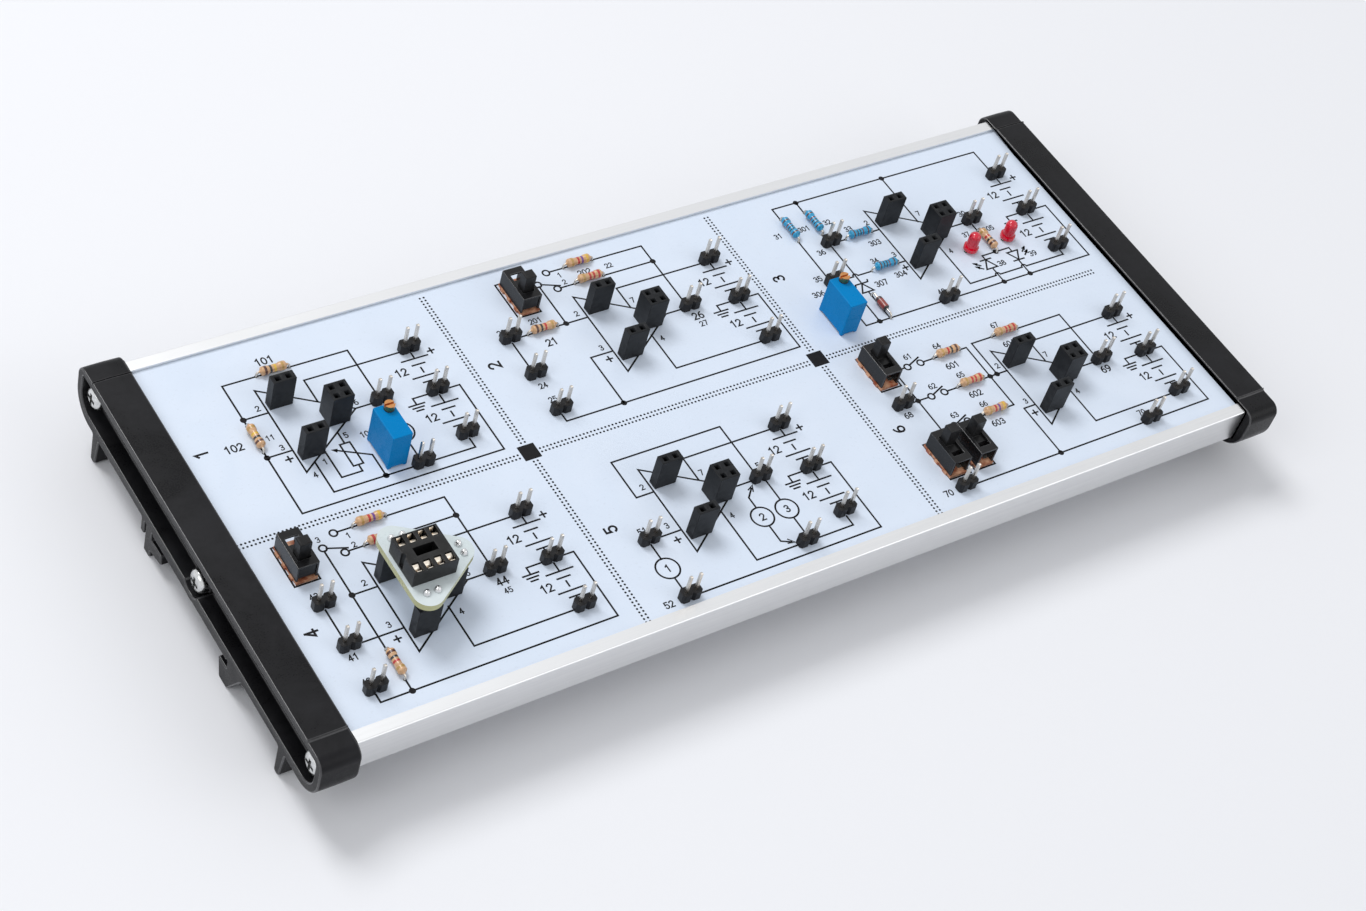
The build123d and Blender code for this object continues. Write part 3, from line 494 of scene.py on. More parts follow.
for settings in softened:
    dressForm(mergedForm(settings["node"]), settings)
print("moulded pieces:", len(softened))

# Blocks with wells: the socket strips and the chip socket. A well's levels go down from its
# mouth, each as a drop and its half widths along X and Y.

stripSettings = {
    "height": 8.5, "edge": 0.11, "drop": 0.3, "funnel": 0.5, "entry": 0.45, "entryDepth": 0.8,
    "cavity": 0.65, "depth": 8.1,
    "pair": {"size": (5.5, 2.5), "mouth": 0.72, "across": 3.3, "spread": 7.62},
    "block": {"size": (5.1, 5.0), "mouth": 0.68, "across": 12.9},
}
chipSettings = {
    "edge": 0.1, "rowSpread": 7.62, "window": (0.80, 1.12), "inward": 0.22, "windowDepth": 3.8,
    "opening": (2.5, 1.05), "openingDepth": 4.3, "notch": 0.65, "notchLength": 6.0,
    "notchSides": 24, "floor": 0.6,
}


def ringBetween(form, first, second):
    afters = [(index, (index + 1) % len(first)) for index in range(len(first))]
    return [form.faces.new((first[index], first[after], second[after], second[index]))
            for index, after in afters]


def linesAcross(half, wells, axis):
    lines = {-half, half}
    for well in wells:
        reach = well["levels"][0][1 + axis]
        lines |= {round(well["centre"][axis] - reach, 4), round(well["centre"][axis] + reach, 4)}
    return sorted(lines)


def gridBorder(grid, left, right, front, back):
    border = [grid[across][front] for across in range(left, right)]
    border += [grid[right][along] for along in range(front, back)]
    border += [grid[across][back] for across in range(right, left, -1)]
    return border + [grid[left][along] for along in range(back, front, -1)]


def insideWell(x, y, well):
    halfX, halfY = well["levels"][0][1:]
    return abs(x - well["centre"][0]) < halfX and abs(y - well["centre"][1]) < halfY


def sinkWell(form, middle, height, grid, xs, ys, well):
    x, y = well["centre"]
    halfX, halfY = well["levels"][0][1:]
    mouth = gridBorder(grid, xs.index(round(x - halfX, 4)), xs.index(round(x + halfX, 4)),
                       ys.index(round(y - halfY, 4)), ys.index(round(y + halfY, 4)))
    above = mouth
    for drop, reachX, reachY in well["levels"][1:]:
        below = []
        for vert in mouth:
            away = (vert.co - middle) / mm
            spot = Vector((x + (away.x - x) * reachX / halfX, y + (away.y - y) * reachY / halfY,
                           height - drop))
            below.append(form.verts.new(middle + spot * mm))
        ringBetween(form, above, below)
        above = below
    form.faces.new(above)


def wellBlock(form, centre, size, wells):
    middle = Vector(centre) * mm
    xs = linesAcross(size[0] / 2, wells, 0)
    ys = linesAcross(size[1] / 2, wells, 1)
    grid = [[form.verts.new(middle + Vector((x, y, size[2])) * mm) for y in ys] for x in xs]
    for across in range(len(xs) - 1):
        for along in range(len(ys) - 1):
            x = (xs[across] + xs[across + 1]) / 2
            y = (ys[along] + ys[along + 1]) / 2
            if not any(insideWell(x, y, well) for well in wells):
                form.faces.new((grid[across][along], grid[across + 1][along],
                                grid[across + 1][along + 1], grid[across][along + 1]))
    rim = gridBorder(grid, 0, len(xs) - 1, 0, len(ys) - 1)
    foot = [form.verts.new((vert.co.x, vert.co.y, middle.z)) for vert in rim]
    ringBetween(form, foot, rim)
    form.faces.new(foot[::-1])
    for well in wells:
        sinkWell(form, middle, size[2], grid, xs, ys, well)
    loose = [vert for vert in form.verts if not vert.link_faces]
    bmesh.ops.delete(form, geom=loose, context="VERTS")
    bmesh.ops.recalc_face_normals(form, faces=form.faces)


def stripWells(places, mouth):
    settings = stripSettings
    entry, entryDepth, cavity = settings["entry"], settings["entryDepth"], settings["cavity"]
    steps = ((0, mouth), (settings["funnel"], entry), (entryDepth, entry), (entryDepth, cavity),
             (settings["depth"], cavity))
    levels = [(drop, half, half) for drop, half in steps]
    return [{"centre": place, "levels": levels} for place in places]


def stripBlocks(name):
    left, front = cellCorner(name)
    place = circuitPlaces[name]
    x = left + place["side"]
    y = front + place["axis"] - stripSettings["drop"]
    half = pinPitch / 2
    pair, block = stripSettings["pair"], stripSettings["block"]
    blocks = [(x + pair["across"], y + side * pair["spread"], pair, ((-half, 0), (half, 0)))
              for side in (-1, 1)]
    corners = [(across * half, along * half) for across in (-1, 1) for along in (-1, 1)]
    return blocks + [(x + block["across"], y, block, corners)]


def addStrips(name):
    form = bmesh.new()
    for x, y, settings, holes in stripBlocks(name):
        wellBlock(form, (x, y, boardTop / mm), (*settings["size"], stripSettings["height"]),
                  stripWells(holes, settings["mouth"]))
    dressForm(form, {"piece": f"socketBlocks-{name}", "finish": "strip", "slot": "strip",
                     "edge": stripSettings["edge"], "node": f"socket_strips_{name}"})


for circuitName in circuitPlaces:
    addStrips(circuitName)
print("socket strips made")

chipLow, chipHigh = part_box("adapter_socket")
chipCentre = ((chipLow.x + chipHigh.x) / 2 / mm, (chipLow.y + chipHigh.y) / 2 / mm, chipLow.z / mm)
chipLegs = [((step - 1.5) * pinPitch, side * chipSettings["rowSpread"] / 2)
            for side in (-1, 1) for step in range(4)]


def cutNotch(piece):
    cutter = bmesh.new()
    radius = chipSettings["notch"] * mm
    length = chipSettings["notchLength"] * mm
    level = chipLow.z + chipSettings["floor"] * mm + length / 2
    place = Matrix.Translation((chipLow.x, chipCentre[1] * mm, level))
    bmesh.ops.create_cone(cutter, cap_ends=True, segments=chipSettings["notchSides"],
                          radius1=radius, radius2=radius, depth=length, matrix=place)
    mesh = bpy.data.meshes.new("notchCutter")
    cutter.to_mesh(mesh)
    cutter.free()
    tool = linkNew("notchCutter", mesh)
    cut = piece.modifiers.new("notch", "BOOLEAN")
    cut.object = tool
    cut.solver = "EXACT"
    piece.modifiers.move(len(piece.modifiers) - 1, 0)
    graph = bpy.context.evaluated_depsgraph_get()
    finished = bpy.data.meshes.new_from_object(piece.evaluated_get(graph))
    piece.modifiers.clear()
    piece.data = finished
    bpy.data.objects.remove(tool)
    bpy.data.meshes.remove(mesh)


def addChipSocket():
    size = [(high - low) / mm for low, high in zip(chipLow, chipHigh)]
    holes = [((x, y - math.copysign(chipSettings["inward"], y)), "window") for x, y in chipLegs]
    holes.append(((0, 0), "opening"))
    wells = [{"centre": centre, "levels": ((0, *chipSettings[kind]),
                                           (chipSettings[kind + "Depth"], *chipSettings[kind]))}
             for centre, kind in holes]
    form = bmesh.new()
    wellBlock(form, chipCentre, size, wells)
    piece = dressForm(form, {"piece": "chipSocketBody", "finish": "chipSocket", "slot": "header",
                             "edge": chipSettings["edge"], "node": "adapter_socket",
                             "body": "adapter"})
    cutNotch(piece)


addChipSocket()

# Chip contacts: an upright outer leaf and an inner leaf that curls over, on a tail. Each leaf's
# line runs from the well's floor: its distance towards the socket's middle, and its height.

contactShape = {"thick": 0.16, "edge": 0.04, "tail": (0.1, 0.3), "tailEnd": -2.45, "tailTop": 0.05}
contactLeaves = (
    {"half": 0.50, "line": ((0.15, 0.12), (-0.52, 0.12), (-0.68, 0.32), (-0.66, 3.10),
                            (-0.76, 3.62))},
    {"half": 0.70, "line": ((-0.15, 0.10), (0.26, 0.10), (0.38, 0.32), (0.10, 1.90), (0.06, 2.30),
                            (0.16, 2.66), (0.42, 3.00), (0.78, 3.24), (1.20, 3.36))},
)


def sweptStrip(form, stations):
    loops = [[form.verts.new(spot * mm) for spot in station] for station in stations]
    for first, second in zip(loops, loops[1:]):
        ringBetween(form, first, second)
    form.faces.new(loops[0][::-1])
    form.faces.new(loops[-1])


def leafStations(foot, leaf, inward):
    points = [Vector(point) for point in leaf["line"]]
    stations = []
    for index, point in enumerate(points):
        along = (points[min(index + 1, len(points) - 1)] - points[max(index - 1, 0)]).normalized()
        across = Vector((-along.y, along.x)) * contactShape["thick"] / 2
        section = []
        for way, side in ((1, -1), (1, 1), (-1, 1), (-1, -1)):
            spot = point + across * way
            section.append(foot + Vector((side * leaf["half"], spot.x * inward, spot.y)))
        stations.append(section)
    return stations


def addChipContacts():
    form = bmesh.new()
    halfX, halfY = contactShape["tail"]
    for x, y in chipLegs:
        leg = Vector(chipCentre) + Vector((x, y, 0))
        foot = leg + Vector((0, 0, chipSettings["floor"]))
        for leaf in contactLeaves:
            sweptStrip(form, leafStations(foot, leaf, -math.copysign(1, y)))
        corners = ((-halfX, -halfY), (halfX, -halfY), (halfX, halfY), (-halfX, halfY))
        sweptStrip(form, [[leg + Vector((*corner, level)) for corner in corners]
                          for level in (contactShape["tailEnd"],
                                        chipSettings["floor"] + contactShape["tailTop"])])
    bmesh.ops.recalc_face_normals(form, faces=form.faces)
    dressForm(form, {"piece": "chipSocketContacts", "finish": "contact", "slot": "contact",
                     "edge": contactShape["edge"], "node": "adapter_contacts", "body": "adapter"})


addChipContacts()

# Adapter solder: a rounded fillet over each plug's end, and one under each chip leg

filletLine = ((0.88, 0.0), (0.86, 0.14), (0.76, 0.42), (0.61, 0.72), (0.49, 0.92), (0.30, 1.02),
              (0.0, 1.05))
legFilletLine = ((0.70, 0.0), (0.68, 0.12), (0.58, 0.40), (0.46, 0.68), (0.38, 0.88), (0.22, 0.95),
                 (0.0, 0.97))
filletSides = 20


def solderDome(form, centre, line, way):
    spokes = [2 * math.pi * step / filletSides for step in range(filletSides)]
    centre = Vector(centre)
    loops = []
    for radius, rise in line[:-1]:
        spots = [Vector((radius * math.cos(spoke), radius * math.sin(spoke), way * rise))
                 for spoke in spokes]
        loops.append([form.verts.new((centre + spot) * mm) for spot in spots])
    for first, second in zip(loops, loops[1:]):
        ringBetween(form, first, second)
    form.faces.new(loops[0][::-1])
    top = form.verts.new((centre + Vector((0, 0, way * line[-1][1]))) * mm)
    for index, vert in enumerate(loops[-1]):
        form.faces.new((vert, loops[-1][(index + 1) % filletSides], top))


def addAdapterSolder():
    low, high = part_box("adapter_board")
    form = bmesh.new()
    for x, y, settings, holes in stripBlocks("noninverting"):
        for holeX, holeY in holes:
            solderDome(form, (x + holeX, y + holeY, high.z / mm), filletLine, 1)
    for legX, legY in chipLegs:
        leg = (chipCentre[0] + legX, chipCentre[1] + legY, low.z / mm)
        solderDome(form, leg, legFilletLine, -1)
    bmesh.ops.recalc_face_normals(form, faces=form.faces)
    dressForm(form, {"piece": "adapterSolderFillets", "finish": "solder", "slot": "solder",
                     "node": "adapter_solder", "body": "adapter"})


addAdapterSolder()
print("adapter dressed")

# Axial bodies: a turned profile along the lead, with its paint in a colour for each ring

paintTones = {
    "beige": (0.66, 0.39, 0.20), "blue": (0.0, 0.30, 0.56), "black": (0.012, 0.011, 0.011),
    "brown": (0.085, 0.022, 0.010), "red": (0.50, 0.018, 0.014),
    "yellow": (0.74, 0.46, 0.05), "violet": (0.16, 0.05, 0.28), "gold": (0.50, 0.30, 0.08),
    "maroon": (0.16, 0.010, 0.014), "amber": (0.30, 0.025, 0.012),
}
axialShape = {"axisHeight": 1.25, "around": 28, "ringsEachWay": 24, "ringsApart": 0.06}
resistorShape = {
    "half": 3.05, "end": 1.05, "waist": 0.87, "rise": 1.35, "fall": 0.7, "neck": 0.42, "dome": 0.45,
    "tail": 0.45, "wire": 0.29,
}
bandEdges = {
    4: ((-2.35, -1.75), (-1.05, -0.50), (0.0, 0.55), (1.70, 2.25)),
    5: ((-2.40, -2.00), (-1.25, -0.92), (-0.42, -0.09), (0.41, 0.74), (1.75, 2.15)),
}
bandSets = {
    "brownRed": "brown black red gold", "threeReds": "red red red gold",
    "violetRed": "yellow violet red gold", "brownYellow": "brown black yellow gold",
    "fiveBands": "brown black black maroon brown",
}
resistors = {
    "carbonBodies": {"node": "carbon_resistors", "slot": "carbon", "body": "beige", "pieces": (
        ("offset", 28.9, 40.7, 0, "brownYellow"), ("offset", 16.7, 24.4, 90, "brownYellow"),
        ("inverting", 39.0, 46.3, 180, "violetRed"), ("inverting", 39.0, 40.9, 180, "threeReds"),
        ("inverting", 20.2, 30.5, 0, "brownRed"), ("comparator", 63.4, 17.6, 90, "brownRed"),
        ("noninverting", 28.7, 46.4, 180, "violetRed"),
        ("noninverting", 28.7, 41.0, 0, "threeReds"), ("noninverting", 16.3, 11.3, 270, "brownRed"),
        ("adder", 29.7, 40.6, 180, "brownRed"), ("adder", 29.7, 30.7, 180, "threeReds"),
        ("adder", 29.7, 21.1, 180, "violetRed"), ("adder", 48.1, 41.2, 180, "threeReds"))},
    "filmBodies": {"node": "film_resistors", "slot": "film", "body": "blue", "pieces": (
        ("comparator", 32.3, 30.8, 0, "fiveBands"), ("comparator", 32.3, 19.3, 0, "fiveBands"),
        ("comparator", 16.2, 38.1, 90, "fiveBands"), ("comparator", 23.4, 38.1, 90, "fiveBands"))},
}


def resistorRadius(x):
    shape = resistorShape
    reach = shape["half"] - abs(x)
    if reach < 0:
        share = min(1.0, -reach / shape["tail"])
        return shape["wire"] + (shape["neck"] - shape["wire"]) * (1 - share) ** 2
    if reach < shape["dome"]:
        share = reach / shape["dome"]
        return shape["neck"] + (shape["end"] - shape["neck"]) * math.sqrt(1 - (1 - share) ** 2)
    fall = min(1.0, max(0.0, (reach - shape["rise"]) / shape["fall"]))
    fall = fall * fall * (3 - 2 * fall)
    return shape["end"] + (shape["waist"] - shape["end"]) * fall


def ringStations(reach, edges):
    count = axialShape["ringsEachWay"]
    stations = {round(step * reach / count, 4) for step in range(-count, count + 1)}
    edgePlaces = {edge for pair in edges for edge in pair}
    clear = {x for x in stations
             if all(abs(x - edge) > axialShape["ringsApart"] for edge in edgePlaces)}
    return sorted(clear | edgePlaces)


def turnedBody(form, place, rings, radiusAt, toneAt):
    circuit, x, y, angle = place
    left, front = cellCorner(circuit)
    level = boardTop + axialShape["axisHeight"] * mm
    turn = Matrix.Translation(((left + x) * mm, (front + y) * mm, level))
    turn = turn @ Matrix.Rotation(math.radians(angle), 4, "Z")
    spokes = [2 * math.pi * step / axialShape["around"] for step in range(axialShape["around"])]
    loops = []
    for x in rings:
        radius = radiusAt(x)
        spots = [Vector((x, radius * math.cos(spoke), radius * math.sin(spoke)))
                 for spoke in spokes]
        loops.append([form.verts.new(turn @ (spot * mm)) for spot in spots])
    tones = [paintTones[toneAt((low + high) / 2)] for low, high in zip(rings, rings[1:])]
    painted = [(form.faces.new(loops[0][::-1]), tones[0]), (form.faces.new(loops[-1]), tones[-1])]
    for first, second, tone in zip(loops, loops[1:], tones):
        painted += [(face, tone) for face in ringBetween(form, first, second)]
    layer = form.loops.layers.float_color["paint"]
    for face, tone in painted:
        face.smooth = True
        for corner in face.loops:
            corner[layer] = (*tone, 1)


def paintedForm():
    form = bmesh.new()
    form.loops.layers.float_color.new("paint")
    return form


def addResistors(name, settings):
    form = paintedForm()
    for *place, ohms in settings["pieces"]:
        bands = bandSets[ohms].split()
        edges = bandEdges[len(bands)]

        def toneAt(x):
            found = [band for band, edge in zip(bands, edges) if edge[0] < x < edge[1]]
            return found[0] if found else settings["body"]

        rings = ringStations(resistorShape["half"] + resistorShape["tail"], edges)
        turnedBody(form, place, rings, resistorRadius, toneAt)
    placeForm(form, {"piece": name, "finish": "resistorPaint", "slot": settings["slot"],
                     "node": settings["node"]})


for bodyName, settings in resistors.items():
    addResistors(bodyName, settings)
print("resistor bodies painted")

# Zener diode: a glass bead with a dark core, and its cathode band

zenerSettings = {
    "place": ("comparator", 23.4, 8.4, 90), "half": 1.9, "radius": 0.9, "round": 0.42,
    "band": (1.0, 1.55), "darkFrom": 1.62,
}


def zenerRadius(x):
    settings = zenerSettings
    reach = min(settings["round"], max(0.0, settings["half"] - abs(x)))
    share = 1 - reach / settings["round"]
    return settings["radius"] - settings["round"] * (1 - math.sqrt(max(0.0, 1 - share * share)))


def zenerTone(x):
    low, high = zenerSettings["band"]
    return "black" if low < x < high or abs(x) > zenerSettings["darkFrom"] else "amber"


zenerForm = paintedForm()
zenerRings = ringStations(zenerSettings["half"], (zenerSettings["band"],))
turnedBody(zenerForm, zenerSettings["place"], zenerRings, zenerRadius, zenerTone)
placeForm(zenerForm, {"piece": "zenerGlass", "finish": "resistorPaint", "slot": "diode",
                      "node": "zener_diode"})
print("zener diode made")

# Screen print on the board: thin raised ink

inkSettings = {
    "line": 0.42, "above": 0.025, "below": 0.02, "dot": 0.74, "dotSides": 16, "round": 28,
    "overlap": 0.001, "hop": 0.7, "hopSteps": 8, "sharpest": 0.35, "closed": 0.01,
}
inkForm = bmesh.new()
inkLayers = itertools.cycle(range(7))  # strokes that cross lie a micron apart


def inkLevels():
    high = inkSettings["above"] + inkSettings["overlap"] * next(inkLayers)
    return boardTop - inkSettings["below"] * mm, boardTop + high * mm


def inkPrism(corners):
    bottom, top = [[inkForm.verts.new((x * mm, y * mm, level)) for x, y in corners]
                   for level in inkLevels()]
    inkForm.faces.new(top)
    inkForm.faces.new(bottom[::-1])
    ringBetween(inkForm, bottom, top)


def inkStroke(points, width=inkSettings["line"]):
    spots = [Vector(point) for point in points]
    ways = [(after - before).normalized() for before, after in zip(spots, spots[1:])]
    closed = (spots[0] - spots[-1]).length < inkSettings["closed"]
    if closed:
        spots.pop()
    else:
        spots[0] = spots[0] - ways[0] * width / 2
        spots[-1] = spots[-1] + ways[-1] * width / 2
    low, high = inkLevels()
    sections = []
    for index, spot in enumerate(spots):
        before = ways[index - 1] if index or closed else ways[0]
        after = ways[index] if index < len(ways) else ways[-1]
        lean = (before + after) / max(inkSettings["sharpest"], 1 + before.dot(after)) * width / 2
        edges = [((spot.x - lean.y * side) * mm, (spot.y + lean.x * side) * mm) for side in (1, -1)]
        corners = [(*edges[0], low), (*edges[0], high), (*edges[1], high), (*edges[1], low)]
        sections.append([inkForm.verts.new(corner) for corner in corners])
    for first, second in zip(sections, sections[1:]):
        ringBetween(inkForm, first, second)
    if closed:
        ringBetween(inkForm, sections[-1], sections[0])
    else:
        inkForm.faces.new(sections[0][::-1])
        inkForm.faces.new(sections[-1])


def inkDisc(x, y, radius, sides):
    spokes = [2 * math.pi * step / sides for step in range(sides)]
    inkPrism([(x + radius * math.cos(spoke), y + radius * math.sin(spoke)) for spoke in spokes])


def ovalPoints(x, y, halfX, halfY, start, end, steps=12):
    spokes = [math.radians(start + (end - start) * step / steps) for step in range(steps + 1)]
    return [(x + halfX * math.cos(spoke), y + halfY * math.sin(spoke)) for spoke in spokes]


def inkArc(x, y, radius, start, end, steps):
    inkStroke(ovalPoints(x, y, radius, radius, start, end, steps))


arrowShape = {"half": 0.55, "filled": 1.5, "open": 1.7, "openLine": 0.336}


def inkArrow(tip, direction, style):
    ahead = Vector(direction).normalized()
    across = Vector((-ahead.y, ahead.x)) * arrowShape["half"]
    back = Vector(tip) - ahead * arrowShape[style]
    corners = [back - across, Vector(tip), back + across]
    if style == "open":
        inkStroke(corners, arrowShape["openLine"])
    else:
        inkPrism(corners)


# Numerals one high, as strokes from their middle
numeralStrokes = {
    "0": (ovalPoints(0, 0, 0.27, 0.46, 0, 360, 18),),
    "1": (((-0.17, 0.28), (0.05, 0.46), (0.05, -0.46)),),
    "2": ([*ovalPoints(0, 0.21, 0.25, 0.25, 165, -35), (-0.25, -0.46), (0.27, -0.46)],),
    "3": ([*ovalPoints(0, 0.23, 0.23, 0.23, 150, -90),
           *ovalPoints(0, -0.22, 0.26, 0.25, 90, -150)],),
    "4": (((0.11, -0.46), (0.11, 0.46)), ((0.09, 0.42), (-0.25, -0.20), (0.29, -0.20))),
    "5": ([(0.22, 0.46), (-0.19, 0.46), (-0.21, 0.05),
           *ovalPoints(0, -0.17, 0.26, 0.29, 115, -150)],),
    "6": (ovalPoints(0, -0.19, 0.26, 0.27, 0, 360, 16),
          ovalPoints(0.24, -0.10, 0.50, 0.56, 105, 185, 6)),
    "7": (((-0.25, 0.46), (0.26, 0.46), (-0.06, -0.46)),),
    "8": (ovalPoints(0, 0.24, 0.21, 0.22, 0, 360, 16),
          ovalPoints(0, -0.21, 0.26, 0.25, 0, 360, 16)),
    "9": (ovalPoints(0, 0.19, 0.26, 0.27, 0, 360, 16),
          ovalPoints(-0.24, 0.10, 0.50, 0.56, -75, 5, 6)),
}
numeralShape = {"advance": 0.74, "stroke": 0.17, "height": 1.5}


def inkNumeral(text, x, y, height=numeralShape["height"], angle=0):
    turn = Matrix.Rotation(math.radians(angle), 2)
    for index, digit in enumerate(text):
        start = Vector(((index - (len(text) - 1) / 2) * numeralShape["advance"], 0))
        for stroke in numeralStrokes[digit]:
            points = [turn @ ((Vector(point) + start) * height) for point in stroke]
            inkStroke([Vector((x, y)) + point for point in points], numeralShape["stroke"] * height)


amplifierMark = {"half": 12.4, "length": 18.2}
plusReach = 0.75

# Supply marks, from the line of the headers and the amplifier's axis
supplyMarks = {
    "plates": ((8.5, 3.25), (6.7, 1.55), (3.1, 3.25), (1.4, 1.55),
               (-5.5, 3.25), (-7.2, 1.55), (-10.8, 3.25), (-12.45, 1.55)),
    "wires": ((10.4, 8.5), (5.6, 4.2), (1.4, -0.8), (-3.1, -5.5), (-8.3, -9.7), (-12.45, -14.3)),
    "ground": ((-3.9, 1.9), (-4.75, 1.35), (-5.6, 0.8)), "groundX": -6.2,
    "groundWire": ((-2.4, -2.0), (-6.2, -2.0), (-6.2, -3.9)),
    "plus": (4.6, 9.4), "volts": ((-4.9, 5.7), (-4.9, -8.5)), "voltsHeight": 2.1,
}

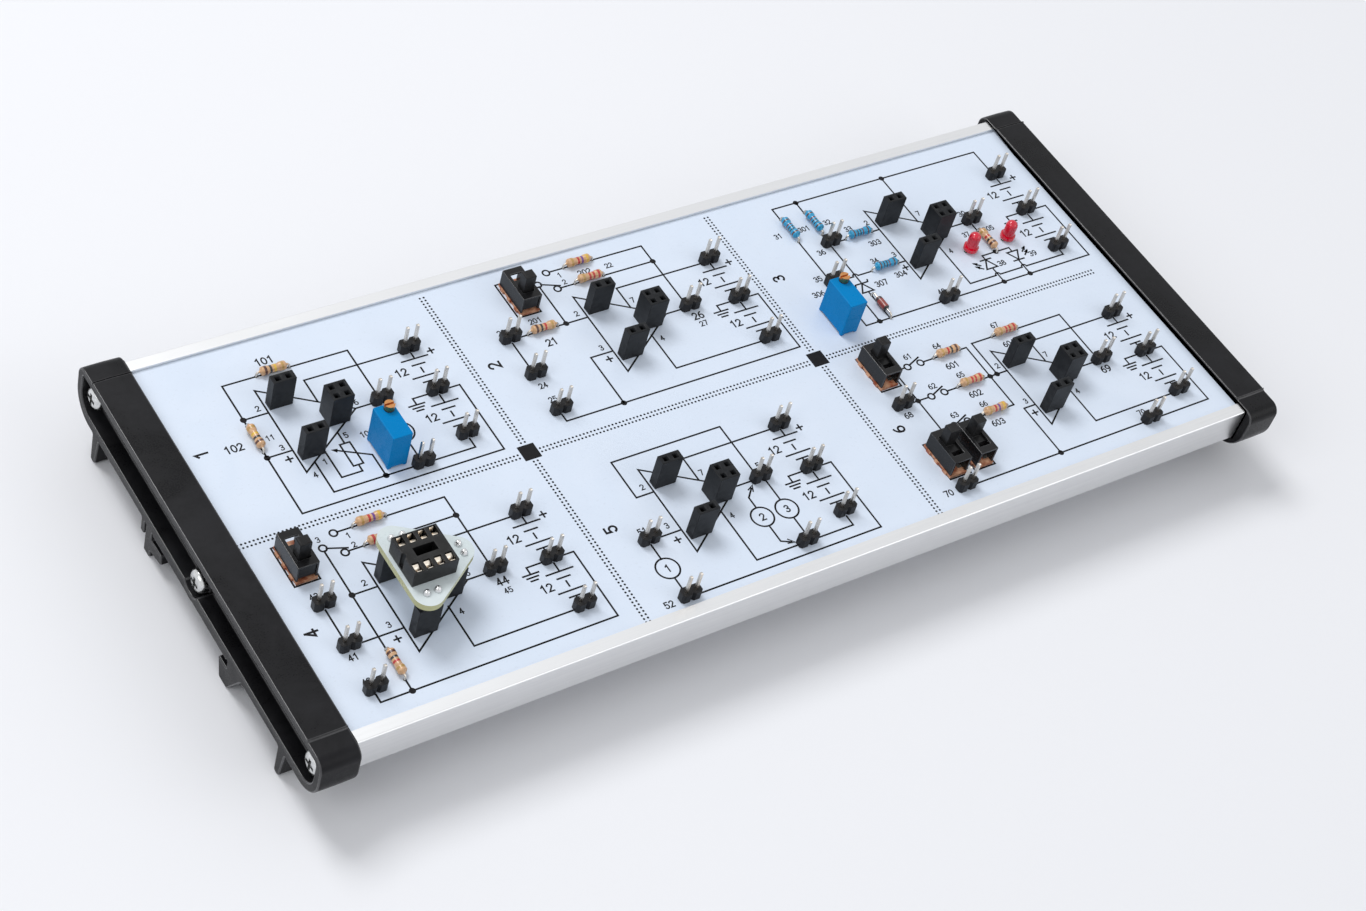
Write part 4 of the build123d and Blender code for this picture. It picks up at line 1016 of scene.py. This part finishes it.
# In each circuit: lines, dots, hollow circles with their radius, arrows with their direction,
# and numerals with their height where it isn't the usual one. A line is a start, and then x or y
# to go straight along that axis to a place, or a point.
inkPlan = {
    "offset": {
        "lines": ("47.3,27.3 y40.7 x16.8 y2.5 x66 y22.7 x61.5", "16.8,30.3 x22.8",
                  "16.8,18.9 x22.8", "34.2,29.4 y36.05 x57.8", "41,24.7 x44.9", "34.1,19.7 y16.6",
                  "32.9,10.2 x35.3 y16.6 x32.9 y10.2", "34.1,10.2 y8.3 x29.1 y17",
                  "25.7,14.1 y5.3 x44.7", "49.7,5.3 x60.3 y7.9", "38.2,5.3 y11.6 31.4,15.5",
                  "47.3,22.1 y17.75", "47.3,12.25 y7.9"),
        "dots": ((16.8, 30.3), (16.8, 18.9), (38.2, 5.3)),
        "circles": ((47.3, 15, 2.75),),
        "arrows": ((30.4, 16.05, -0.87, 0.5),),
        "numerals": (("2", 21.1, 32.2), ("3", 21, 20.4), ("4", 24.2, 11), ("1", 27.8, 13.5),
                     ("5", 35.4, 18.6), ("6", 41.9, 26.3), ("101", 28.6, 44.3, 2),
                     ("102", 11.4, 23.8, 2), ("11", 19.9, 23.8, 1.4), ("103", 39.9, 17.4)),
        "plus": (21, 16.9),
    },
    "inverting": {
        "lines": ("16.9,35.9 x23 y46.9 x16.9 y35.9", "27.3,43.4 31.5,41.6", "31.2,46.3 x57 y27.5",
                  "31.2,40.9 x57", "26.6,42.9 y30.5", "14.2,30.5 x32.5", "43.8,29.6 y36.2 x67.6",
                  "32.5,19.2 x26.5 y4.5", "43.8,20.3 y9.3 x67.6",
                  "11.3,6.5 y4.5 x75.8 y22.8 x71.4", "11.6,29.4 y21.6", "50.7,24.9 x54.8"),
        "dots": ((57, 40.9), (26.6, 30.5), (26.5, 4.5)),
        "circles": ((30.4, 46.3, 0.85), (26.6, 43.6, 0.85), (30.4, 40.9, 0.85)),
        "numerals": (("2", 30.5, 32.4), ("3", 30.4, 21), ("7", 45.5, 31.6), ("4", 45.7, 18.6),
                     ("1", 33.1, 44.6, 1.4), ("2", 33.1, 42.3, 1.4), ("202", 39.3, 43.5, 1.6),
                     ("22", 46, 43.4, 1.4), ("201", 20.1, 33.8), ("21", 20.4, 26.7, 2),
                     ("24", 11.7, 15.7), ("25", 11.7, 11.3), ("23", 10.8, 33.2),
                     ("26", 57.8, 21.8, 2.1), ("27", 57.8, 19.2)),
        "plus": (30.4, 17.3),
    },
    "comparator": {
        "lines": ("16.2,42 y46 x80.3 y38", "16.2,34.2 y4.5 x86.9 y23.1 x81.5", "23.4,46 y42",
                  "23.4,34.2 y32.2", "23.4,29.7 y16.7", "21.2,16.1 21.5,16.7 x25.2 25.5,17.3",
                  "21.7,13.8 x25.1 23.4,16.6 21.7,13.8", "23.4,13.8 y4.5", "36.2,30.8 x38.8",
                  "25.2,30.8 x28.4", "20.3,4.5 y19.3 x22.7", "24.1,19.3 x28.4", "36.2,19.3 x38.8",
                  "50.2,46 y29.7", "50.2,20.6 y7 x58.4", "59.8,7 x66.8", "68.2,7 x80.3 y8.6",
                  "63.4,23.9 y21.4", "59.1,12.5 y13.9 x67.7 y12.5", "57.5,12.5 x60.7",
                  "57.4,9.5 x60.8 59.1,12.4 57.4,9.5", "66,12.5 x69.4 67.7,9.6 66,12.5",
                  "66.1,9.5 x69.3", "59.1,9.5 y4.5", "67.5,9.5 y4.5", "56.6,11.2 55.2,12.3",
                  "56.6,10 55.2,11.1", "70.4,11.6 71.8,12.7", "70.4,10.4 71.8,11.5",
                  "57,25.2 x61.2"),
        "dots": ((23.4, 46), (50.2, 46), (20.3, 4.5), (59.1, 4.5), (67.5, 4.5), (63.4, 13.9)),
        "hops": ((23.4, 19.3), (59.1, 7), (67.5, 7)),
        "arrows": ((54.8, 12.7, -0.78, 0.62), (54.8, 11.5, -0.78, 0.62), (72.2, 13.1, 0.78, 0.62),
                   (72.2, 11.9, 0.78, 0.62)),
        "numerals": (("2", 36.9, 33.9), ("3", 37.2, 22.2), ("7", 52, 32.2), ("4", 52.2, 18.2),
                     ("31", 12.3, 37.5), ("301", 20.1, 37.5), ("32", 27.2, 37.5),
                     ("33", 31.1, 33.7), ("303", 34.9, 27.3, 1.6), ("36", 19.7, 29.1, 1.6),
                     ("35", 13.6, 21.7, 1.6), ("306", 10.9, 17.4, 1.6), ("34", 31.1, 22.1),
                     ("304", 34.9, 16, 1.6), ("307", 28.3, 15.1, 1.7), ("37", 59.6, 21.6),
                     ("305", 66.7, 21.4), ("38", 62.5, 10.1, 1.6), ("39", 72.6, 10.1, 1.6),
                     ("40", 41.4, 7.3, 1.6), ("30", 63.1, 28.2, 1.6)),
        "plus": (37.4, 17.4),
    },
    "noninverting": {
        "lines": ("6.5,36.7 x12.4 y47.6 x6.5 y36.7", "17.2,43.3 21.4,41.8", "21.2,46.4 x47 y27.3",
                  "21.1,41 x46.9", "16.4,42.8 y15.2", "16.4,7.4 y4.3", "16.4,30.4 x22.4",
                  "9.6,29 y20.4", "12.3,18.9 x22.3", "9.2,6.3 y4.3 x65.6 y22.8 x61.3",
                  "33.8,29.5 y36.2 x57.4", "33.5,20.2 y9.2 x57.4", "40.6,24.8 x44.5"),
        "dots": ((46.9, 41), (16.4, 30.4), (16.4, 4.3)),
        "circles": ((20.4, 46.4, 0.85), (16.5, 43.6, 0.85), (20.3, 40.9, 0.85)),
        "numerals": (("2", 20.2, 32.3), ("3", 19.8, 20.8), ("4", 35.4, 18.1), ("6", 41.5, 26.4),
                     ("1", 23, 44.7, 1.4), ("2", 23, 42.1, 1.4), ("3", 16.5, 46, 1.4),
                     ("41", 9.3, 16.3, 1.6), ("42", 9, 9.9), ("43", 9, 33), ("44", 47.3, 21.7, 2),
                     ("45", 47.3, 19.1, 1.4)),
        "plus": (19.8, 16.9),
    },
    "follower": {
        "lines": ("19,30.5 x14.4 y41.3 x43.6 y27.4", "30.4,29.6 y36.3 x54", "30.2,20.2 y5.4 x41",
                  "46.2,5.4 x56.5 y8.1", "37.2,24.9 x41.3", "13.1,19 x18.9", "10.4,17.9 y13.7",
                  "10.4,8.2 y3.9", "13.1,2.5 x62.3 y22.8 x57.9", "38.3,17.9 y21 40.4,23.1",
                  "38.2,12.4 y7.8 40.4,6.7", "44.8,23.7 y17.8", "44.8,12.4 y6.6"),
        "circles": ((10.4, 11, 2.75), (38.2, 15.2, 2.7), (44.8, 15.1, 2.7)),
        "arrows": ((41.1, 23.8, 0.7, 0.7), (41.2, 6.3, 0.87, -0.5)),
        "arrowStyle": "open",
        "numerals": (("2", 17.2, 32.6), ("7", 32.1, 31.3), ("3", 16.5, 21.2), ("4", 31.9, 18.2),
                     ("51", 10.6, 21.9, 1.6), ("1", 10.4, 11, 1.9), ("2", 38.2, 15.2, 1.9),
                     ("3", 44.8, 15.1, 1.9), ("52", 5.4, 2.5, 1.7), ("54", 46.2, 28.2, 1.6)),
        "plus": (16.7, 16.9),
    },
    "adder": {
        "lines": ("7.2,36.2 x13 y47.1 x7.2 y36.2", "6.9,7.8 x12.9 y18.9 x6.9 y7.8",
                  "14.2,7.8 x20.1 y18.9 x14.2 y7.8", "17.2,40.6 x14 y21.1 x17.2",
                  "11.8,30.7 x17.2", "18.7,40.9 22.4,42.3", "18.7,31 22.4,32.4",
                  "18.7,21.4 22.4,22.8", "22.7,40.6 x35.9 y21.1 x22.7", "22.7,30.7 x41.2",
                  "38,30.7 y41.2 x65.8 y27.6", "52.5,29.7 y36.5 x76.3", "41,19.2 x37.6 y4.5",
                  "11.5,4.5 x84.7 y23 x80.1", "52.4,20.3 y9.4 x76.3", "59.3,25 x63.6"),
        "dots": ((14, 30.7), (35.9, 30.7), (38, 30.7), (37.6, 4.5)),
        "circles": ((18, 40.6, 0.85), (21.9, 40.6, 0.85), (18, 30.7, 0.85), (21.9, 30.7, 0.85),
                    (18, 21.1, 0.85), (21.9, 21.1, 0.85)),
        "numerals": (("2", 39.7, 32.9), ("3", 39.4, 21), ("7", 53.9, 31.6), ("4", 54, 18.9),
                     ("61", 19.9, 43.4), ("62", 20.1, 33.3), ("63", 19.8, 23.8), ("64", 29, 43.7),
                     ("601", 29, 37.1, 1.7), ("65", 29, 33.8), ("602", 29, 27.5, 1.7),
                     ("66", 28.8, 24.1), ("603", 28.8, 18, 1.7), ("67", 47.3, 44.2),
                     ("604", 47.2, 37.9, 1.6), ("68", 9.1, 27.8, 1.6), ("69", 65.7, 22.1, 2),
                     ("70", 65.2, 7.3, 1.6), ("70", 4, 4.6, 1.7)),
        "plus": (39.4, 17.1),
    },
}


def linePoints(path):
    points = []
    for step in path.split():
        if step[0] == "x":
            points.append((float(step[1:]), points[-1][1]))
        elif step[0] == "y":
            points.append((points[-1][0], float(step[1:])))
        else:
            points.append([float(part) for part in step.split(",")])
    return points


def inkAmplifier(left, front, place):
    side = left + place["side"]
    axis = front + place["axis"]
    half = amplifierMark["half"]
    inkStroke([(side, axis - half), (side, axis + half), (side + amplifierMark["length"], axis),
               (side, axis - half)])


def inkSupply(left, front, place):
    marks = supplyMarks
    x = left + place["supply"]
    axis = front + place["axis"]
    for rise, half in marks["plates"]:
        inkStroke([(x - half, axis + rise), (x + half, axis + rise)])
    for high, low in marks["wires"]:
        inkStroke([(x, axis + high), (x, axis + low)])
    inkStroke([(x + across, axis + rise) for across, rise in marks["groundWire"]])
    groundX = x + marks["groundX"]
    for rise, half in marks["ground"]:
        inkStroke([(groundX - half, axis + rise), (groundX + half, axis + rise)])
    inkPlus(x + marks["plus"][0], axis + marks["plus"][1])
    for across, rise in marks["volts"]:
        inkNumeral("12", x + across, axis + rise, marks["voltsHeight"])


def inkPlus(x, y):
    inkStroke([(x - plusReach, y), (x + plusReach, y)])
    inkStroke([(x, y - plusReach), (x, y + plusReach)])


circuitNumber = {"inset": 4.3, "height": 3.0, "angle": 90}


def inkCircuit(name):
    plan = inkPlan[name]
    place = circuitPlaces[name]
    left, front = cellCorner(name)
    inkAmplifier(left, front, place)
    inkSupply(left, front, place)
    for path in plan["lines"]:
        inkStroke([(left + x, front + y) for x, y in linePoints(path)])
    for x, y in plan.get("dots", ()):
        inkDisc(left + x, front + y, inkSettings["dot"], inkSettings["dotSides"])
    for x, y, radius in plan.get("circles", ()):
        inkArc(left + x, front + y, radius, 0, 360, inkSettings["round"])
    for x, y in plan.get("hops", ()):
        inkArc(left + x, front + y, inkSettings["hop"], 0, 180, inkSettings["hopSteps"])
    for x, y, alongX, alongY in plan.get("arrows", ()):
        inkArrow((left + x, front + y), (alongX, alongY), plan.get("arrowStyle", "filled"))
    for text, x, y, *height in plan["numerals"]:
        inkNumeral(text, left + x, front + y, *height)
    inkPlus(left + plan["plus"][0], front + plan["plus"][1])
    inkNumeral(place["number"], left + circuitNumber["inset"], front + place["axis"],
               circuitNumber["height"], circuitNumber["angle"])


# Dotted double lines between the circuits, with a square where they cross

separators = {
    "row": -0.7, "columns": (70.8, 149.7), "size": 0.27, "sides": 8, "pitch": 0.95, "gap": 1.0,
    "rowStart": 0.4, "rowLength": 236.5, "columnStart": -50.6, "columnLength": 101,
    "square": 4.2, "squareRise": 0.4,
}


def inkSeparators():
    settings = separators
    left = columnStarts[0]
    crossings = [left + across for across in settings["columns"]]
    half = settings["square"] / 2
    y = settings["row"] + settings["squareRise"]
    rowSteps = range(int(settings["rowLength"] / settings["pitch"]))
    columnSteps = range(int(settings["columnLength"] / settings["pitch"]))
    for gap in (-settings["gap"] / 2, settings["gap"] / 2):
        dots = [(left + settings["rowStart"] + step * settings["pitch"], settings["row"] + gap)
                for step in rowSteps]
        dots += [(x + gap, settings["columnStart"] + step * settings["pitch"])
                 for x in crossings for step in columnSteps]
        for dotX, dotY in dots:
            if abs(dotY - y) > half or all(abs(dotX - x) > half for x in crossings):
                inkDisc(dotX, dotY, settings["size"], settings["sides"])
    corners = ((-half, -half), (half, -half), (half, half), (-half, half))
    for x in crossings:
        inkPrism([(x + across, y + along) for across, along in corners])


def addPrint():
    for name in inkPlan:
        inkCircuit(name)
    inkSeparators()
    bmesh.ops.recalc_face_normals(inkForm, faces=inkForm.faces)
    placeForm(inkForm, {"piece": "boardPrint", "finish": "ink", "slot": "board"})


addPrint()
print("board printed")

# Studio

def addStage():
    half = studioSettings["floorHalf"]
    mesh = bpy.data.meshes.new("benchFloor")
    mesh.from_pydata([(-half, -half, 0), (half, -half, 0), (half, half, 0), (-half, half, 0)], [],
                     [(0, 1, 2, 3)])
    material, tree, shader = newMaterial("palePaper")
    tone = studioSettings["floorTone"]
    dim = (*[part * studioSettings["floorFibre"] for part in tone[:3]], 1)
    feed(tree, shader, {"Base Color": mixColours(tree, noise(tree, 5.0, 2.0), dim, tone),
                        "Roughness": 0.7, "Specular IOR Level": 0.2})
    mesh.materials.append(material)
    floor = linkNew("benchFloor", mesh)


def addWorld():
    world = bpy.data.worlds.new("studio")
    scene.world = world
    world.use_nodes = True
    tree = world.node_tree
    tree.nodes.clear()
    path = add(tree, "ShaderNodeLightPath").outputs
    seen = maths(tree, "MAXIMUM", path["Is Camera Ray"], path["Is Transmission Ray"])
    seen = maths(tree, "MAXIMUM", seen, path["Is Glossy Ray"])
    glows = [add(tree, "ShaderNodeBackground", {"Color": studioSettings["worldTone"],
                                                "Strength": studioSettings[glow]}).outputs[0]
             for glow in ("worldGlow", "seenGlow")]
    both = add(tree, "ShaderNodeMixShader", {0: seen, 1: glows[0], 2: glows[1]}).outputs[0]
    add(tree, "ShaderNodeOutputWorld", {"Surface": both})


addCamera()
addLamps()
addStage()
addWorld()
scene.view_settings.view_transform = "Standard"
print("studio lit")
